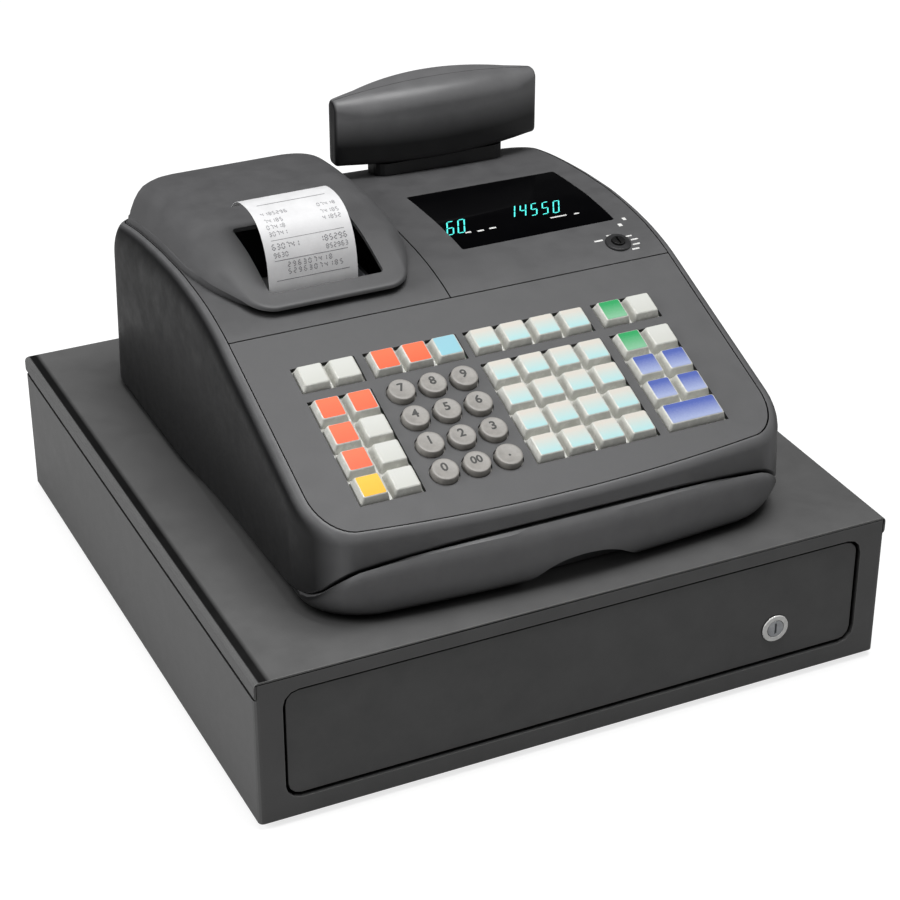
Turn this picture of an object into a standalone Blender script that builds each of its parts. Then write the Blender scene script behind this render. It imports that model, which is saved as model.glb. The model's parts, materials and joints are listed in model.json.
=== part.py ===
# Ticket register: a steel cash drawer with a sloping console on top.
# The console holds the keyboard, the receipt printer, the operator display,
# the mode lock and a customer display on a turning neck at the back.
# X runs to the operator's right, Y runs to the back, Z runs up, all in metres.

import math

import bmesh
import bpy
import numpy
from mathutils import Matrix, Vector

# Fits and finish
seam_gap = 0.0005
close_gap = 0.0003
overrun = 0.002
weld_distance = 0.00001
quarter_turn = math.pi / 2

# Cash drawer cabinet
drawer_width = 0.410
drawer_depth = 0.4282
drawer_height = 0.0962
foot_height = 0.004
foot_radius = 0.011
foot_inset = 0.026
sheet = 0.0015
side_sheet = 0.003
flange_step = 0.0018
cover_flange = 0.012
cover_bend = 0.003
bezel_depth = 0.0145
bezel_side = 0.0145
bezel_foot = 0.012
bezel_head = 0.0104
bezel_corner = 0.010
back_wall = 0.0018

# Cash drawer front and its lock
front_gap = 0.002
front_corner = 0.008
front_thickness = 0.009
front_set_back = 0.0015
lock_inset = 0.0736
lock_height = 0.036
lock_ring_radius = 0.00925
lock_ring_face = 0.001
lock_body_radius = 0.008
lock_body_length = 0.0165
lock_plug_radius = 0.0055
lock_slot_width = 0.0014
lock_slot_length = 0.0075
lock_slot_depth = 0.002

# Sliding tray, runners and rails
tray_side_gap = 0.027
tray_floor = 0.016
tray_wall_height = 0.054
tray_back_space = 0.0314
runner_reach = 0.0105
runner_height = 0.0078
runner_rise = 0.018
rail_inner = 0.0042
rail_height = 0.0135
rail_slot = 0.0086
rail_back_gap = 0.010
rail_front_gap = 0.003

# Cash insert
insert_gap = 0.0035
insert_back_space = 0.082
insert_height = 0.044
insert_edge = 0.003
insert_rib = 0.005
coin_cup_length = 0.047
coin_cup_depth = 0.030
note_bay_margin = 0.009
note_bay_depth = 0.0385
pocket_corner = 0.006

# Note clips
clip_barrel_radius = 0.003
clip_barrel_length = 0.034
clip_width = 0.012
clip_length = 0.096
clip_drop = 0.031
clip_thickness = 0.0018
clip_set_back = 0.003

# Drawer catch and spring
bolt_inset = 0.0176
bolt_radius = 0.0028
bolt_length = 0.0227
coil_half_width = 0.016
coil_depth = 0.020
coil_height = 0.0185
catch_half_width = 0.012
catch_length = 0.0205
catch_thickness = 0.002
catch_hole_radius = 0.0045
catch_rise = 0.0085
spring_x = 0.090
spring_height = 0.048
spring_radius = 0.007
spring_wire = 0.0009
spring_turns = 5

# Console outline
console_half_width = 0.158
console_front = -0.1935
console_back = 0.172
console_wall = 0.0025
console_bow = 0.0065
front_corner_width = 0.032
front_corner_depth = 0.038
back_corner_radius = 0.028
shoulder_inset = 0.010
shoulder_drop = 0.012
shoulder_back_drop = 0.021
front_shoulder_inset = 0.0035
front_shoulder_drop = 0.004
shoulder_full_line = -0.160
wall_draft = 0.022

# Console top line, as heights over the drawer top
deck_front_line = -0.190
deck_back_line = -0.040
deck_front_rise = 0.0568
deck_back_rise = 0.1143
crown_rise = 0.0125
side_fall = 0.005
fall_start_line = 0.040
crown_shares = (
    (0.0, 0.0),
    (0.071, 0.376),
    (0.165, 0.712),
    (0.283, 0.92),
    (0.401, 1.0),
    (0.519, 0.99),
    (0.637, 0.904),
    (0.755, 0.74),
    (0.873, 0.45),
    (1.0, 0.0),
)

# Lower half of the console
rim_height = 0.0036
lip_rise = 0.0438
lip_shares = (
    (-0.1935, 1.0),
    (-0.190, 0.95),
    (-0.187, 0.845),
    (-0.184, 0.74),
    (-0.180, 0.62),
    (-0.175, 0.48),
    (-0.165, 0.36),
    (-0.128, 0.30),
    (-0.046, 0.24),
    (0.016, 0.115),
    (0.090, 0.0),
)
base_floor = 0.003
base_wall = 0.003
lip_bulge = 0.004
seam_front_inset = 0.0025
lip_block_line = -0.165
foot_recess_front = 0.0095
foot_recess_side = 0.012
foot_recess_corner_width = 0.044
foot_recess_corner_depth = 0.058
side_recess = 0.0035
recess_start_line = -0.163
recess_full_line = -0.135
lip_share = 0.12
arch_centre = 0.008
arch_half_width = 0.050
arch_height = 0.0125
arch_depth_line = -0.179
arch_shares = (
    (-1.0, 0.0),
    (-0.8, 0.16),
    (-0.6, 0.52),
    (-0.42, 0.8),
    (-0.2, 0.96),
    (0.0, 1.0),
    (0.2, 0.96),
    (0.42, 0.8),
    (0.6, 0.52),
    (0.8, 0.16),
    (1.0, 0.0),
)
boss_radius = 0.003
boss_height = 0.007

# Keyboard
deck_thickness = 0.0025
key_column_count = 11
key_margin_left = 0.0377
key_margin_right = 0.0402
number_block_gap = 0.0054
department_block_gap = 0.0045
payment_block_gap = 0.0060
first_row = 0.0340
number_first_row = 0.0331
number_row_step = 0.0211
top_row_lead = 0.0067
cap_gap = 0.001
cap_taper = 0.004
cap_rise = 0.004
cap_edge = 0.0007
cap_clearance = 0.0006
web_thickness = 0.0014
web_margin = 0.0019
web_close_margin = 0.0002
round_key_gap = 0.0032
round_key_taper = 0.0004
round_key_rise = 0.0040
round_key_edge = 0.0009
round_flange_gap = 0.0012
key_board_depth = 0.0082
key_board_thickness = 0.0016
key_board_side = 0.020
key_board_front = 0.0185
key_board_back = 0.1355
key_boss_side = 0.006
key_boss_inset = 0.005

# Printer cover with its raised hood
printer_cover_right = -0.004
hood_left_side = 0.0115
hood_right_gap = 0.0015
hood_front = -0.0285
hood_back = 0.1585
hood_neck_front = -0.020
hood_fold_left = 0.0225
hood_fold_right = 0.019
hood_corner = 0.014
hood_back_corner = 0.016
hood_neck_inset = 0.004
hood_lip_gap = 0.0045
hood_front_rise = 0.1250
hood_crown = 0.0223
hood_shares = (
    (0.0, 0.0),
    (0.083, 0.23),
    (0.167, 0.49),
    (0.261, 0.735),
    (0.389, 0.906),
    (0.528, 1.0),
    (0.694, 0.98),
    (0.833, 0.90),
    (1.0, 0.72),
)
hood_fold_shares = (
    (0.0, 0.0),
    (0.075, 0.18),
    (0.10, 0.30),
    (0.235, 0.80),
    (0.39, 1.0),
    (1.0, 1.0),
)
hood_side_shares = (
    (0.94, 0.0, 0.0, 0.03),
    (0.78, 0.45, 0.0, 0.07),
    (0.55, 0.80, 0.02, 0.18),
    (0.28, 0.95, 0.08, 0.35),
    (0.0, 1.0, 0.22, 0.60),
)
hood_edge_depth = 0.014
hood_wall = 0.0027
paper_window_left_rim = 0.0125
paper_window_right_rim = 0.013
paper_window_front = -0.017
paper_window_back = 0.046
paper_window_corner = 0.003

# Operator display and mode lock
window_left = 0.0235
window_side = 0.027
window_front = 0.0005
window_back = 0.0855
window_thickness = 0.002
window_corner = 0.0015
display_depth = 0.009
display_inset = 0.003
mode_side = 0.0375
mode_y = -0.0235
mode_ring_radius = 0.0083
mode_ring_rise = 0.0012
mode_body_radius = 0.0070
mode_body_length = 0.018
mode_plug_radius = 0.0042
mode_plug_rise = 0.0012
mode_slot_width = 0.0012
mode_slot_length = 0.0066
mode_slot_depth = 0.0018

# Printer
printer_left_gap = 0.0055
printer_right_gap = 0.0045
printer_front = -0.0205
printer_back = 0.098
printer_plate = 0.0025
printer_height = 0.1080
platen_y = -0.006
platen_rise = 0.104
platen_radius = 0.0065
platen_shaft = 0.0025
print_head_depth = 0.0055
print_head_height = 0.014
paper_side_gap = 0.001
paper_spare_gap = 0.0155
paper_thickness = 0.0003
roll_y = 0.054
roll_rise = 0.070
roll_radius = 0.028
roll_core_radius = 0.006
trough_height = 0.022
trough_wall = 0.003
paper_start_rise = 0.099
paper_run = 0.066
paper_rise = 0.070
receipt_shares = (
    (0.0, 0.0),
    (0.0, 0.17),
    (0.0, 0.36),
    (0.015, 0.54),
    (0.055, 0.70),
    (0.13, 0.83),
    (0.24, 0.93),
    (0.38, 0.985),
    (0.55, 1.0),
    (0.72, 0.98),
    (0.83, 0.93),
    (0.90, 0.87),
)

# Boards and transformer
main_board_left = -0.024
main_board_side = 0.022
main_board_front = -0.145
main_board_back = 0.035
main_board_thickness = 0.0016
main_boss_inset = 0.012
transformer_side = 0.062
transformer_y = 0.100
transformer_width = 0.058
transformer_depth = 0.048
transformer_height = 0.046
core_width = 0.030
core_edge = 0.002

# Customer display
pod_side = 0.0858
pod_y = 0.147
pod_floor_rise = 0.1298
pod_half_length = 0.0742
pod_end_half_depth = 0.006
pod_front_bulge = 0.014
pod_back_bulge = 0.017
pod_height = 0.0452
pod_crown = 0.0056
pod_edge = 0.005
pod_front_edge = 0.013
pod_back_edge = 0.010
pod_wall = 0.0022
pod_shares = (-1.0, -0.965, -0.8, -0.5, -0.2, 0.2, 0.5, 0.8, 0.965, 1.0)
pod_end_shrink = 0.0022
pod_window_half = 0.054
pod_window_floor = 0.010
pod_window_height = 0.026
pod_window_thickness = 0.0018
pod_board_y = 0.0095
pod_board_half = 0.042
pod_board_height = 0.033
pod_board_thickness = 0.0018
neck_half_width = 0.047
neck_front = 0.1335
neck_back = 0.1575
neck_corner = 0.008
neck_top_gap = 0.0006
turn_radius = 0.0115
turn_flange_radius = 0.014
turn_flange = 0.002

# Cord inlet
inlet_side = 0.098
inlet_rise = 0.024
inlet_flange_radius = 0.009
inlet_body_radius = 0.0065
inlet_bore_radius = 0.0035
inlet_flange = 0.002
inlet_body_length = 0.012

# Steps along curves
corner_steps = 4
bow_shares = (0.6, 0.2)
shoulder_steps = 3
round_steps = 24
key_steps = 16
small_steps = 16
edge_steps = 3

# Positions that follow from the sizes above
half_width = drawer_width / 2
front_face = -drawer_depth / 2
back_face = drawer_depth / 2
drawer_bottom = foot_height
drawer_top = foot_height + drawer_height
lock_x = half_width - lock_inset
bolt_y = back_face - bolt_inset
tray_half_width = half_width - tray_side_gap
tray_length = drawer_depth - front_set_back - front_thickness - close_gap - tray_back_space
insert_length = tray_length - insert_back_space
note_bay_length = insert_length - 2 * coin_cup_length - 3 * insert_rib - note_bay_margin
key_room = 2 * console_half_width - key_margin_left - key_margin_right
key_room -= number_block_gap + department_block_gap + payment_block_gap
key_pitch = key_room / key_column_count
left_column = key_margin_left - console_half_width + key_pitch / 2
number_column = left_column + 2 * key_pitch + number_block_gap
department_column = number_column + 3 * key_pitch + department_block_gap
payment_column = department_column + 4 * key_pitch + payment_block_gap
cap_base = key_pitch - cap_gap
cap_top = cap_base - cap_taper
round_key_skirt = (key_pitch - round_key_gap) / 2
round_key_radius = round_key_skirt - round_key_taper
round_key_flange = (key_pitch - round_flange_gap) / 2
key_board_half_width = console_half_width - key_board_side
key_boss_x = key_board_half_width - key_boss_side
hood_left = hood_left_side - console_half_width
hood_right = printer_cover_right - hood_right_gap
hood_plate_left = hood_left + hood_fold_left
hood_plate_right = hood_right - hood_fold_right
paper_window_left = hood_plate_left + paper_window_left_rim
paper_window_right = hood_plate_right - paper_window_right_rim
printer_left = paper_window_left - printer_left_gap
printer_right = paper_window_right + printer_right_gap
paper_left = paper_window_left + paper_side_gap
paper_width = paper_window_right - paper_left - paper_spare_gap
window_right = console_half_width - window_side
mode_x = console_half_width - mode_side
main_board_right = console_half_width - main_board_side
transformer_x = console_half_width - transformer_side
pod_x = console_half_width - pod_side
inlet_x = inlet_side - console_half_width
deck_slope = (deck_back_rise - deck_front_rise) / (deck_back_line - deck_front_line)
deck_angle = math.atan(deck_slope)
deck_skin = deck_thickness * math.cos(deck_angle)
console_floor = drawer_top + close_gap

parts = bpy.data.collections.new("ticket_register")
cutters = bpy.data.collections.new("cutters")


def start_scene():
    for item in list(bpy.data.objects):
        bpy.data.objects.remove(item)
    bpy.context.scene.collection.children.link(parts)
    bpy.context.scene.collection.children.link(cutters)


# Materials, one short function for each finish

def finish(name, colour, roughness, metallic):
    material = bpy.data.materials.new(name)
    material.use_nodes = True
    shader = material.node_tree.nodes["Principled BSDF"]
    shader.inputs["Base Color"].default_value = (*colour, 1)
    shader.inputs["Roughness"].default_value = roughness
    shader.inputs["Metallic"].default_value = metallic
    return material


def painted_steel(name):
    return finish(name, (0.045, 0.046, 0.046), 0.55, 0)


def bright_steel(name):
    return finish(name, (0.62, 0.62, 0.61), 0.35, 1)


def chromed_metal(name):
    return finish(name, (0.78, 0.78, 0.78), 0.12, 1)


def dark_plastic(name):
    return finish(name, (0.052, 0.052, 0.053), 0.5, 0)


def black_plastic(name):
    return finish(name, (0.012, 0.012, 0.012), 0.35, 0)


def clear_black(name):
    return finish(name, (0.004, 0.004, 0.005), 0.08, 0)


def key_plastic(name):
    return finish(name, (0.62, 0.64, 0.62), 0.4, 0)


def grey_key_plastic(name):
    return finish(name, (0.38, 0.37, 0.34), 0.45, 0)


def blue_key_plastic(name):
    return finish(name, (0.28, 0.33, 0.52), 0.4, 0)


def circuit_board(name):
    return finish(name, (0.03, 0.16, 0.07), 0.45, 0)


def rubber(name):
    return finish(name, (0.02, 0.02, 0.02), 0.8, 0)


def paper(name):
    return finish(name, (0.82, 0.82, 0.80), 0.8, 0)


def brass(name):
    return finish(name, (0.62, 0.45, 0.18), 0.3, 1)


# Shapes

def top_line(x, y):
    runs = [deck_front_line, deck_back_line]
    rises = [deck_front_rise, deck_back_rise]
    for run, rise in crown_shares[1:]:
        runs.append(deck_back_line + run * (console_back - deck_back_line))
        rises.append(deck_back_rise + rise * crown_rise)
    if y < deck_front_line:
        return drawer_top + deck_front_rise + deck_slope * (y - deck_front_line)
    fall = side_fall * max(0, (y - fall_start_line) / (console_back - fall_start_line))
    return drawer_top + float(numpy.interp(y, runs, rises)) - fall * abs(x) / console_half_width


def hood_line(x, y):
    runs = []
    rises = []
    for run, rise in hood_shares:
        runs.append(hood_front + run * (hood_back - hood_front))
        rises.append(hood_front_rise + rise * hood_crown)
    return drawer_top + float(numpy.interp(y, runs, rises))


def lip_line(x, y):
    lines = [line for line, share in lip_shares]
    shares = [share for line, share in lip_shares]
    rise = lip_rise * float(numpy.interp(y, lines, shares))
    return drawer_top + max(rim_height, rise)


def crown_stations(back, front):
    places = []
    for run, rise in reversed(crown_shares):
        y = deck_back_line + run * (console_back - deck_back_line)
        if front < y < back:
            places.append(y)
    return places


def ring(left, right, front, back, front_corner_size, back_corner_size, bow, stations, height):
    # The outline runs down the right side, over the front and up the left side.
    # A corner size is the reach on the left, the reach on the right and the depth.
    right_side = []
    left_side = []
    middle = (left + right) / 2
    for step in range(corner_steps + 1):
        turn = quarter_turn * step / corner_steps
        y = back - back_corner_size[2] * (1 - math.cos(turn))
        reach = 1 - math.sin(turn)
        right_side.append((right - back_corner_size[1] * reach, y))
        left_side.append((left + back_corner_size[0] * reach, y))
    for y in stations:
        right_side.append((right, y))
        left_side.append((left, y))
    corner_line = front + bow
    for step in range(corner_steps + 1):
        turn = quarter_turn * step / corner_steps
        y = corner_line + front_corner_size[2] * (1 - math.sin(turn))
        reach = 1 - math.cos(turn)
        right_side.append((right - front_corner_size[1] * reach, y))
        left_side.append((left + front_corner_size[0] * reach, y))
    for share in bow_shares if bow else ():
        y = front + bow * share * share
        right_side.append((middle + (right - front_corner_size[1] - middle) * share, y))
        left_side.append((middle + (left + front_corner_size[0] - middle) * share, y))
    points = right_side + left_side[::-1]
    return [Vector((x, y, height(x, y))) for x, y in points]


def ladder(shape, row, turned):
    count = len(row)
    for step in range(count // 2 - 1):
        corners = [row[step], row[step + 1], row[count - 2 - step], row[count - 1 - step]]
        if turned:
            corners.reverse()
        shape.faces.new(corners)


def loft_shape(rings, capped):
    shape = bmesh.new()
    rows = []
    for outline in rings:
        rows.append([shape.verts.new(point) for point in outline])
    pairs = list(zip(rows, rows[1:]))
    if not capped:
        pairs.append((rows[-1], rows[0]))
    count = len(rows[0])
    for low, high in pairs:
        for step in range(count):
            after = (step + 1) % count
            shape.faces.new((low[step], low[after], high[after], high[step]))
    if capped:
        ladder(shape, rows[0], False)
        ladder(shape, rows[-1], True)
    bmesh.ops.recalc_face_normals(shape, faces=shape.faces[:])
    return shape


def block_shape(low, high):
    shape = bmesh.new()
    low = Vector(low)
    high = Vector(high)
    place = Matrix.Translation((low + high) / 2) @ Matrix.Diagonal((*(high - low), 1))
    bmesh.ops.create_cube(shape, size=1, matrix=place)
    return shape


def round_edges(shape, direction, radius, steps):
    chosen = []
    for edge in shape.edges:
        run = (edge.verts[1].co - edge.verts[0].co).normalized()
        if abs(run.dot(Vector(direction))) > 0.99:
            chosen.append(edge)
    bmesh.ops.bevel(shape, geom=chosen, offset=radius, segments=steps, profile=0.5, affect="EDGES")
    return shape


def rounded_block(low, high, direction, radius, steps):
    return round_edges(block_shape(low, high), direction, radius, steps)


def rod_shape(centre, direction, radius, length, steps):
    shape = bmesh.new()
    turn = Vector((0, 0, 1)).rotation_difference(Vector(direction)).to_matrix().to_4x4()
    place = Matrix.Translation(Vector(centre)) @ turn
    bmesh.ops.create_cone(shape, cap_ends=True, segments=steps, radius1=radius, radius2=radius,
                          depth=length, matrix=place)
    return shape


def joined_shape(shapes):
    # Separate solids kept side by side in one cutter
    whole = bmesh.new()
    for shape in shapes:
        mesh = bpy.data.meshes.new("piece")
        shape.to_mesh(mesh)
        shape.free()
        whole.from_mesh(mesh)
        bpy.data.meshes.remove(mesh)
    return whole


def outline_shape(points, half_depth, place):
    # A flat outline filled and given thickness, then set in place
    curve = bpy.data.curves.new("outline", "CURVE")
    curve.dimensions = "2D"
    curve.fill_mode = "BOTH"
    curve.extrude = half_depth
    spline = curve.splines.new("POLY")
    spline.points.add(len(points) - 1)
    for slot, point in zip(spline.points, points):
        slot.co = (point[0], point[1], 0, 1)
    spline.use_cyclic_u = True
    holder = bpy.data.objects.new("outline", curve)
    bpy.context.scene.collection.objects.link(holder)
    bpy.context.view_layer.update()
    seen = holder.evaluated_get(bpy.context.evaluated_depsgraph_get())
    mesh = bpy.data.meshes.new_from_object(seen)
    shape = bmesh.new()
    shape.from_mesh(mesh)
    bmesh.ops.remove_doubles(shape, verts=shape.verts[:], dist=weld_distance)
    bmesh.ops.transform(shape, matrix=place, verts=shape.verts[:])
    bmesh.ops.recalc_face_normals(shape, faces=shape.faces[:])
    bpy.data.objects.remove(holder)
    bpy.data.curves.remove(curve)
    bpy.data.meshes.remove(mesh)
    return shape


def side_view_place(x):
    # Outline X becomes the depth Y and outline Y becomes the height Z
    turn = Matrix(((0, 0, 1, 0), (1, 0, 0, 0), (0, 1, 0, 0), (0, 0, 0, 1)))
    return Matrix.Translation(Vector((x, 0, 0))) @ turn


def front_view_place(y):
    # Outline X stays across and outline Y becomes the height Z
    turn = Matrix(((1, 0, 0, 0), (0, 0, -1, 0), (0, 1, 0, 0), (0, 0, 0, 1)))
    return Matrix.Translation(Vector((0, y, 0))) @ turn


def add_item(name, shape, collection):
    mesh = bpy.data.meshes.new(name)
    shape.to_mesh(mesh)
    shape.free()
    item = bpy.data.objects.new(name, mesh)
    collection.objects.link(item)
    return item


def add_part(name, shape, material):
    item = add_item(name, shape, parts)
    item.data.materials.append(material)
    return item


def add_cutter(name, shape):
    item = add_item(name, shape, cutters)
    item.hide_render = True
    item.display_type = "WIRE"
    return item


def combine(item, name, shape, operation):
    cutter = add_cutter(name, shape)
    step = item.modifiers.new(name, "BOOLEAN")
    step.operation = operation
    step.object = cutter
    step.solver = "EXACT"
    return cutter


def cut(item, name, shape):
    return combine(item, name, shape, "DIFFERENCE")


def join(item, name, shape):
    return combine(item, name, shape, "UNION")


def turned_part(name, profile, steps, material, place):
    # The profile is a line of radius and height pairs swept once round.
    # A hollow piece has a closed profile that never meets the axis.
    mesh = bpy.data.meshes.new(name)
    points = [(radius, 0, height) for radius, height in profile]
    links = [(step, step + 1) for step in range(len(points) - 1)]
    if profile[-1][0] > 0:
        links.append((len(points) - 1, 0))
    mesh.from_pydata(points, links, [])
    item = bpy.data.objects.new(name, mesh)
    parts.objects.link(item)
    item.data.materials.append(material)
    sweep = item.modifiers.new("sweep", "SCREW")
    sweep.steps = steps
    sweep.render_steps = steps
    sweep.angle = 2 * math.pi
    sweep.use_merge_vertices = True
    sweep.merge_threshold = weld_distance
    item.matrix_world = place
    return item


def shade_round(item):
    for face in item.data.polygons:
        face.use_smooth = True
    item.data.set_sharp_from_angle(angle=math.radians(35))


def move_origin(item, point):
    # A moving piece has its origin on its own axis
    target = Vector(point)
    item.data.transform(Matrix.Translation(-target))
    item.location = target


# Cash drawer

def build_cabinet():
    low = (-half_width, front_face, drawer_bottom)
    high = (half_width, back_face, drawer_top - sheet - close_gap)
    cabinet = add_part("drawer_cabinet", rounded_block(low, high, (0, 0, 1), cover_bend, edge_steps),
                       painted_steel("cabinet_paint"))
    inside_low = (-half_width + side_sheet, front_face + bezel_depth, drawer_bottom + sheet)
    inside_high = (half_width - side_sheet, back_face - back_wall, drawer_top + overrun)
    cut(cabinet, "cabinet_inside", block_shape(inside_low, inside_high))
    opening_low = (-half_width + bezel_side + front_gap, front_face - overrun, drawer_bottom + bezel_foot)
    opening_high = (half_width - bezel_side - front_gap, front_face + bezel_depth + overrun,
                    drawer_top - bezel_head)
    cut(cabinet, "cabinet_mouth",
        rounded_block(opening_low, opening_high, (0, 1, 0), bezel_corner, edge_steps))
    steps = []
    for side in (-1, 1):
        outer = side * (half_width + overrun)
        inner = side * (half_width - flange_step)
        steps.append(block_shape((min(outer, inner), front_face - overrun, drawer_top - cover_flange),
                                 (max(outer, inner), back_face + overrun, drawer_top + overrun)))
    cut(cabinet, "flange_steps", joined_shape(steps))


def build_top_cover():
    low = (-half_width, front_face, drawer_top - cover_flange + close_gap)
    high = (half_width, back_face, drawer_top)
    cover = add_part("drawer_top_cover", rounded_block(low, high, (0, 1, 0), cover_bend, edge_steps),
                     painted_steel("cover_paint"))
    inside = half_width - flange_step + close_gap
    cut(cover, "cover_inside", block_shape((-inside, front_face - overrun, drawer_bottom),
                                           (inside, back_face + overrun, drawer_top - sheet)))


def front_panel_back():
    return front_face + front_set_back + front_thickness


def build_drawer_front():
    panel_half = half_width - bezel_side - front_gap - front_gap
    low = (-panel_half, front_face + front_set_back, drawer_bottom + bezel_foot + front_gap)
    high = (panel_half, front_panel_back(), drawer_top - bezel_head - front_gap)
    front = add_part("drawer_front", rounded_block(low, high, (0, 1, 0), front_corner, edge_steps),
                     painted_steel("front_paint"))
    cut(front, "front_lock_hole", rod_shape((lock_x, front_face, drawer_bottom + lock_height), (0, 1, 0),
                                            lock_body_radius + close_gap, lock_body_length * 2, round_steps))


def build_tray():
    tray_front = front_panel_back() + close_gap
    tray_back = tray_front + tray_length
    floor = drawer_bottom + tray_floor
    low = (-tray_half_width, tray_front, floor)
    high = (tray_half_width, tray_back, floor + tray_wall_height)
    tray = add_part("drawer_tray", block_shape(low, high), painted_steel("tray_paint"))
    runners = []
    for side in (-1, 1):
        inner = side * (tray_half_width - sheet / 2)
        outer = side * (tray_half_width + runner_reach)
        runners.append(block_shape((min(inner, outer), tray_front + rail_front_gap, floor + runner_rise),
                                   (max(inner, outer), tray_back, floor + runner_rise + runner_height)))
    join(tray, "tray_runners", joined_shape(runners))
    catch_bottom = drawer_bottom + sheet + close_gap + coil_height + catch_rise
    join(tray, "tray_catch", block_shape((-catch_half_width, tray_back - sheet, catch_bottom),
                                         (catch_half_width, tray_back + catch_length,
                                          catch_bottom + catch_thickness)))
    cut(tray, "tray_inside", block_shape((low[0] + sheet, low[1] + sheet, floor + sheet),
                                         (high[0] - sheet, high[1] - sheet, high[2] + overrun)))
    holes = [rod_shape((lock_x, tray_front, drawer_bottom + lock_height), (0, 1, 0),
                       lock_body_radius + front_gap / 2, sheet * 4, round_steps),
             rod_shape((0, bolt_y, catch_bottom), (0, 0, 1), catch_hole_radius, catch_thickness * 4, small_steps)]
    cut(tray, "tray_holes", joined_shape(holes))


def build_rails():
    floor = drawer_bottom + tray_floor
    middle = floor + runner_rise + runner_height / 2
    tray_front = front_panel_back() + close_gap
    for name, side in (("drawer_rail_left", -1), ("drawer_rail_right", 1)):
        outer = side * (half_width - side_sheet - close_gap)
        inner = side * (tray_half_width + rail_inner)
        low_x = min(outer, inner)
        high_x = max(outer, inner)
        low = (low_x, front_face + bezel_depth + close_gap, middle - rail_height / 2)
        high = (high_x, tray_front + tray_length - rail_back_gap, middle + rail_height / 2)
        rail = add_part(name, block_shape(low, high), bright_steel(name + "_steel"))
        slot_inner = side * (tray_half_width - overrun)
        slot_outer = side * (tray_half_width + runner_reach + close_gap * 2)
        cut(rail, name + "_slot",
            block_shape((min(slot_inner, slot_outer), low[1] - overrun, middle - rail_slot / 2),
                        (max(slot_inner, slot_outer), high[1] + overrun, middle + rail_slot / 2)))


def insert_front():
    return front_panel_back() + close_gap + sheet + insert_gap + lock_body_radius / 2


def insert_bottom():
    return drawer_bottom + tray_floor + sheet + close_gap


def bay_centres():
    bay = bay_width()
    first = -(bay + insert_rib) * 1.5
    return [first + (bay + insert_rib) * step for step in range(4)]


def bay_width():
    whole = 2 * (tray_half_width - sheet - insert_edge) - 2 * insert_edge
    return (whole - insert_rib * 3) / 4


def build_till_insert():
    half = tray_half_width - sheet - insert_edge
    front = insert_front()
    bottom = insert_bottom()
    back = front + insert_length
    top = bottom + insert_height
    insert = add_part("till_insert", rounded_block((-half, front, bottom), (half, back, top), (0, 0, 1),
                                                   pocket_corner, edge_steps),
                      black_plastic("insert_plastic"))
    pockets = []
    bay = bay_width()
    for x in bay_centres():
        for row in (0, 1):
            cup_front = front + insert_rib + row * (coin_cup_length + insert_rib)
            pockets.append(rounded_block((x - bay / 2, cup_front, top - coin_cup_depth),
                                         (x + bay / 2, cup_front + coin_cup_length, top + overrun),
                                         (0, 0, 1), pocket_corner, edge_steps))
        bay_front = front + insert_rib + 2 * (coin_cup_length + insert_rib)
        pockets.append(rounded_block((x - bay / 2, bay_front, top - note_bay_depth),
                                     (x + bay / 2, bay_front + note_bay_length, top + overrun),
                                     (0, 0, 1), pocket_corner, edge_steps))
    cut(insert, "insert_pockets", joined_shape(pockets))


def build_note_clips():
    top = insert_bottom() + insert_height
    axis_y = insert_front() + insert_length - clip_set_back
    axis_z = top + close_gap + clip_barrel_radius
    for number, x in enumerate(bay_centres(), start=1):
        half = clip_thickness / 2
        arm = [
            (axis_y, axis_z + half),
            (axis_y, axis_z - half),
            (axis_y - clip_length * 0.18, axis_z - half),
            (axis_y - clip_length * 0.85, axis_z - clip_drop - half),
            (axis_y - clip_length, axis_z - clip_drop + half),
            (axis_y - clip_length, axis_z - clip_drop + clip_thickness + half),
            (axis_y - clip_length * 0.85, axis_z - clip_drop + half),
            (axis_y - clip_length * 0.18, axis_z + half),
        ]
        clip = add_part("note_clip_%d" % number,
                        outline_shape(arm, clip_width / 2, side_view_place(x)),
                        bright_steel("clip_steel_%d" % number))
        barrel = join(clip, "clip_barrel_%d" % number,
                      rod_shape((x, axis_y, axis_z), (1, 0, 0), clip_barrel_radius, clip_barrel_length,
                                small_steps))
        move_origin(clip, (x, axis_y, axis_z))
        barrel.parent = clip
        barrel.matrix_parent_inverse = Matrix.Translation(-clip.location)


def build_lock():
    height = drawer_bottom + lock_height
    face = front_face + front_set_back - close_gap
    turn = Matrix.Rotation(quarter_turn, 4, "X")
    place = Matrix.Translation(Vector((lock_x, face, height))) @ turn
    bore = lock_plug_radius + close_gap
    rounding = lock_ring_face / 2
    profile = [
        (bore, lock_ring_face),
        (lock_ring_radius - rounding, lock_ring_face),
        (lock_ring_radius, rounding),
        (lock_ring_radius, 0),
        (lock_body_radius, 0),
        (lock_body_radius, -lock_body_length),
        (bore, -lock_body_length),
    ]
    turned_part("drawer_lock_barrel", profile, round_steps, chromed_metal("lock_chrome"), place)
    length = lock_ring_face + lock_body_length
    plug = add_part("drawer_lock_plug",
                    rod_shape((lock_x, face + lock_body_length - length / 2, height), (0, 1, 0),
                              lock_plug_radius, length, round_steps),
                    bright_steel("lock_plug_steel"))
    slot_front = face - lock_ring_face - overrun
    slot = cut(plug, "lock_slot",
               block_shape((lock_x - lock_slot_width / 2, slot_front, height - lock_slot_length / 2),
                           (lock_x + lock_slot_width / 2, slot_front + overrun + lock_slot_depth,
                            height + lock_slot_length / 2)))
    move_origin(plug, (lock_x, face, height))
    slot.parent = plug
    slot.matrix_parent_inverse = Matrix.Translation(-plug.location)


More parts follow.
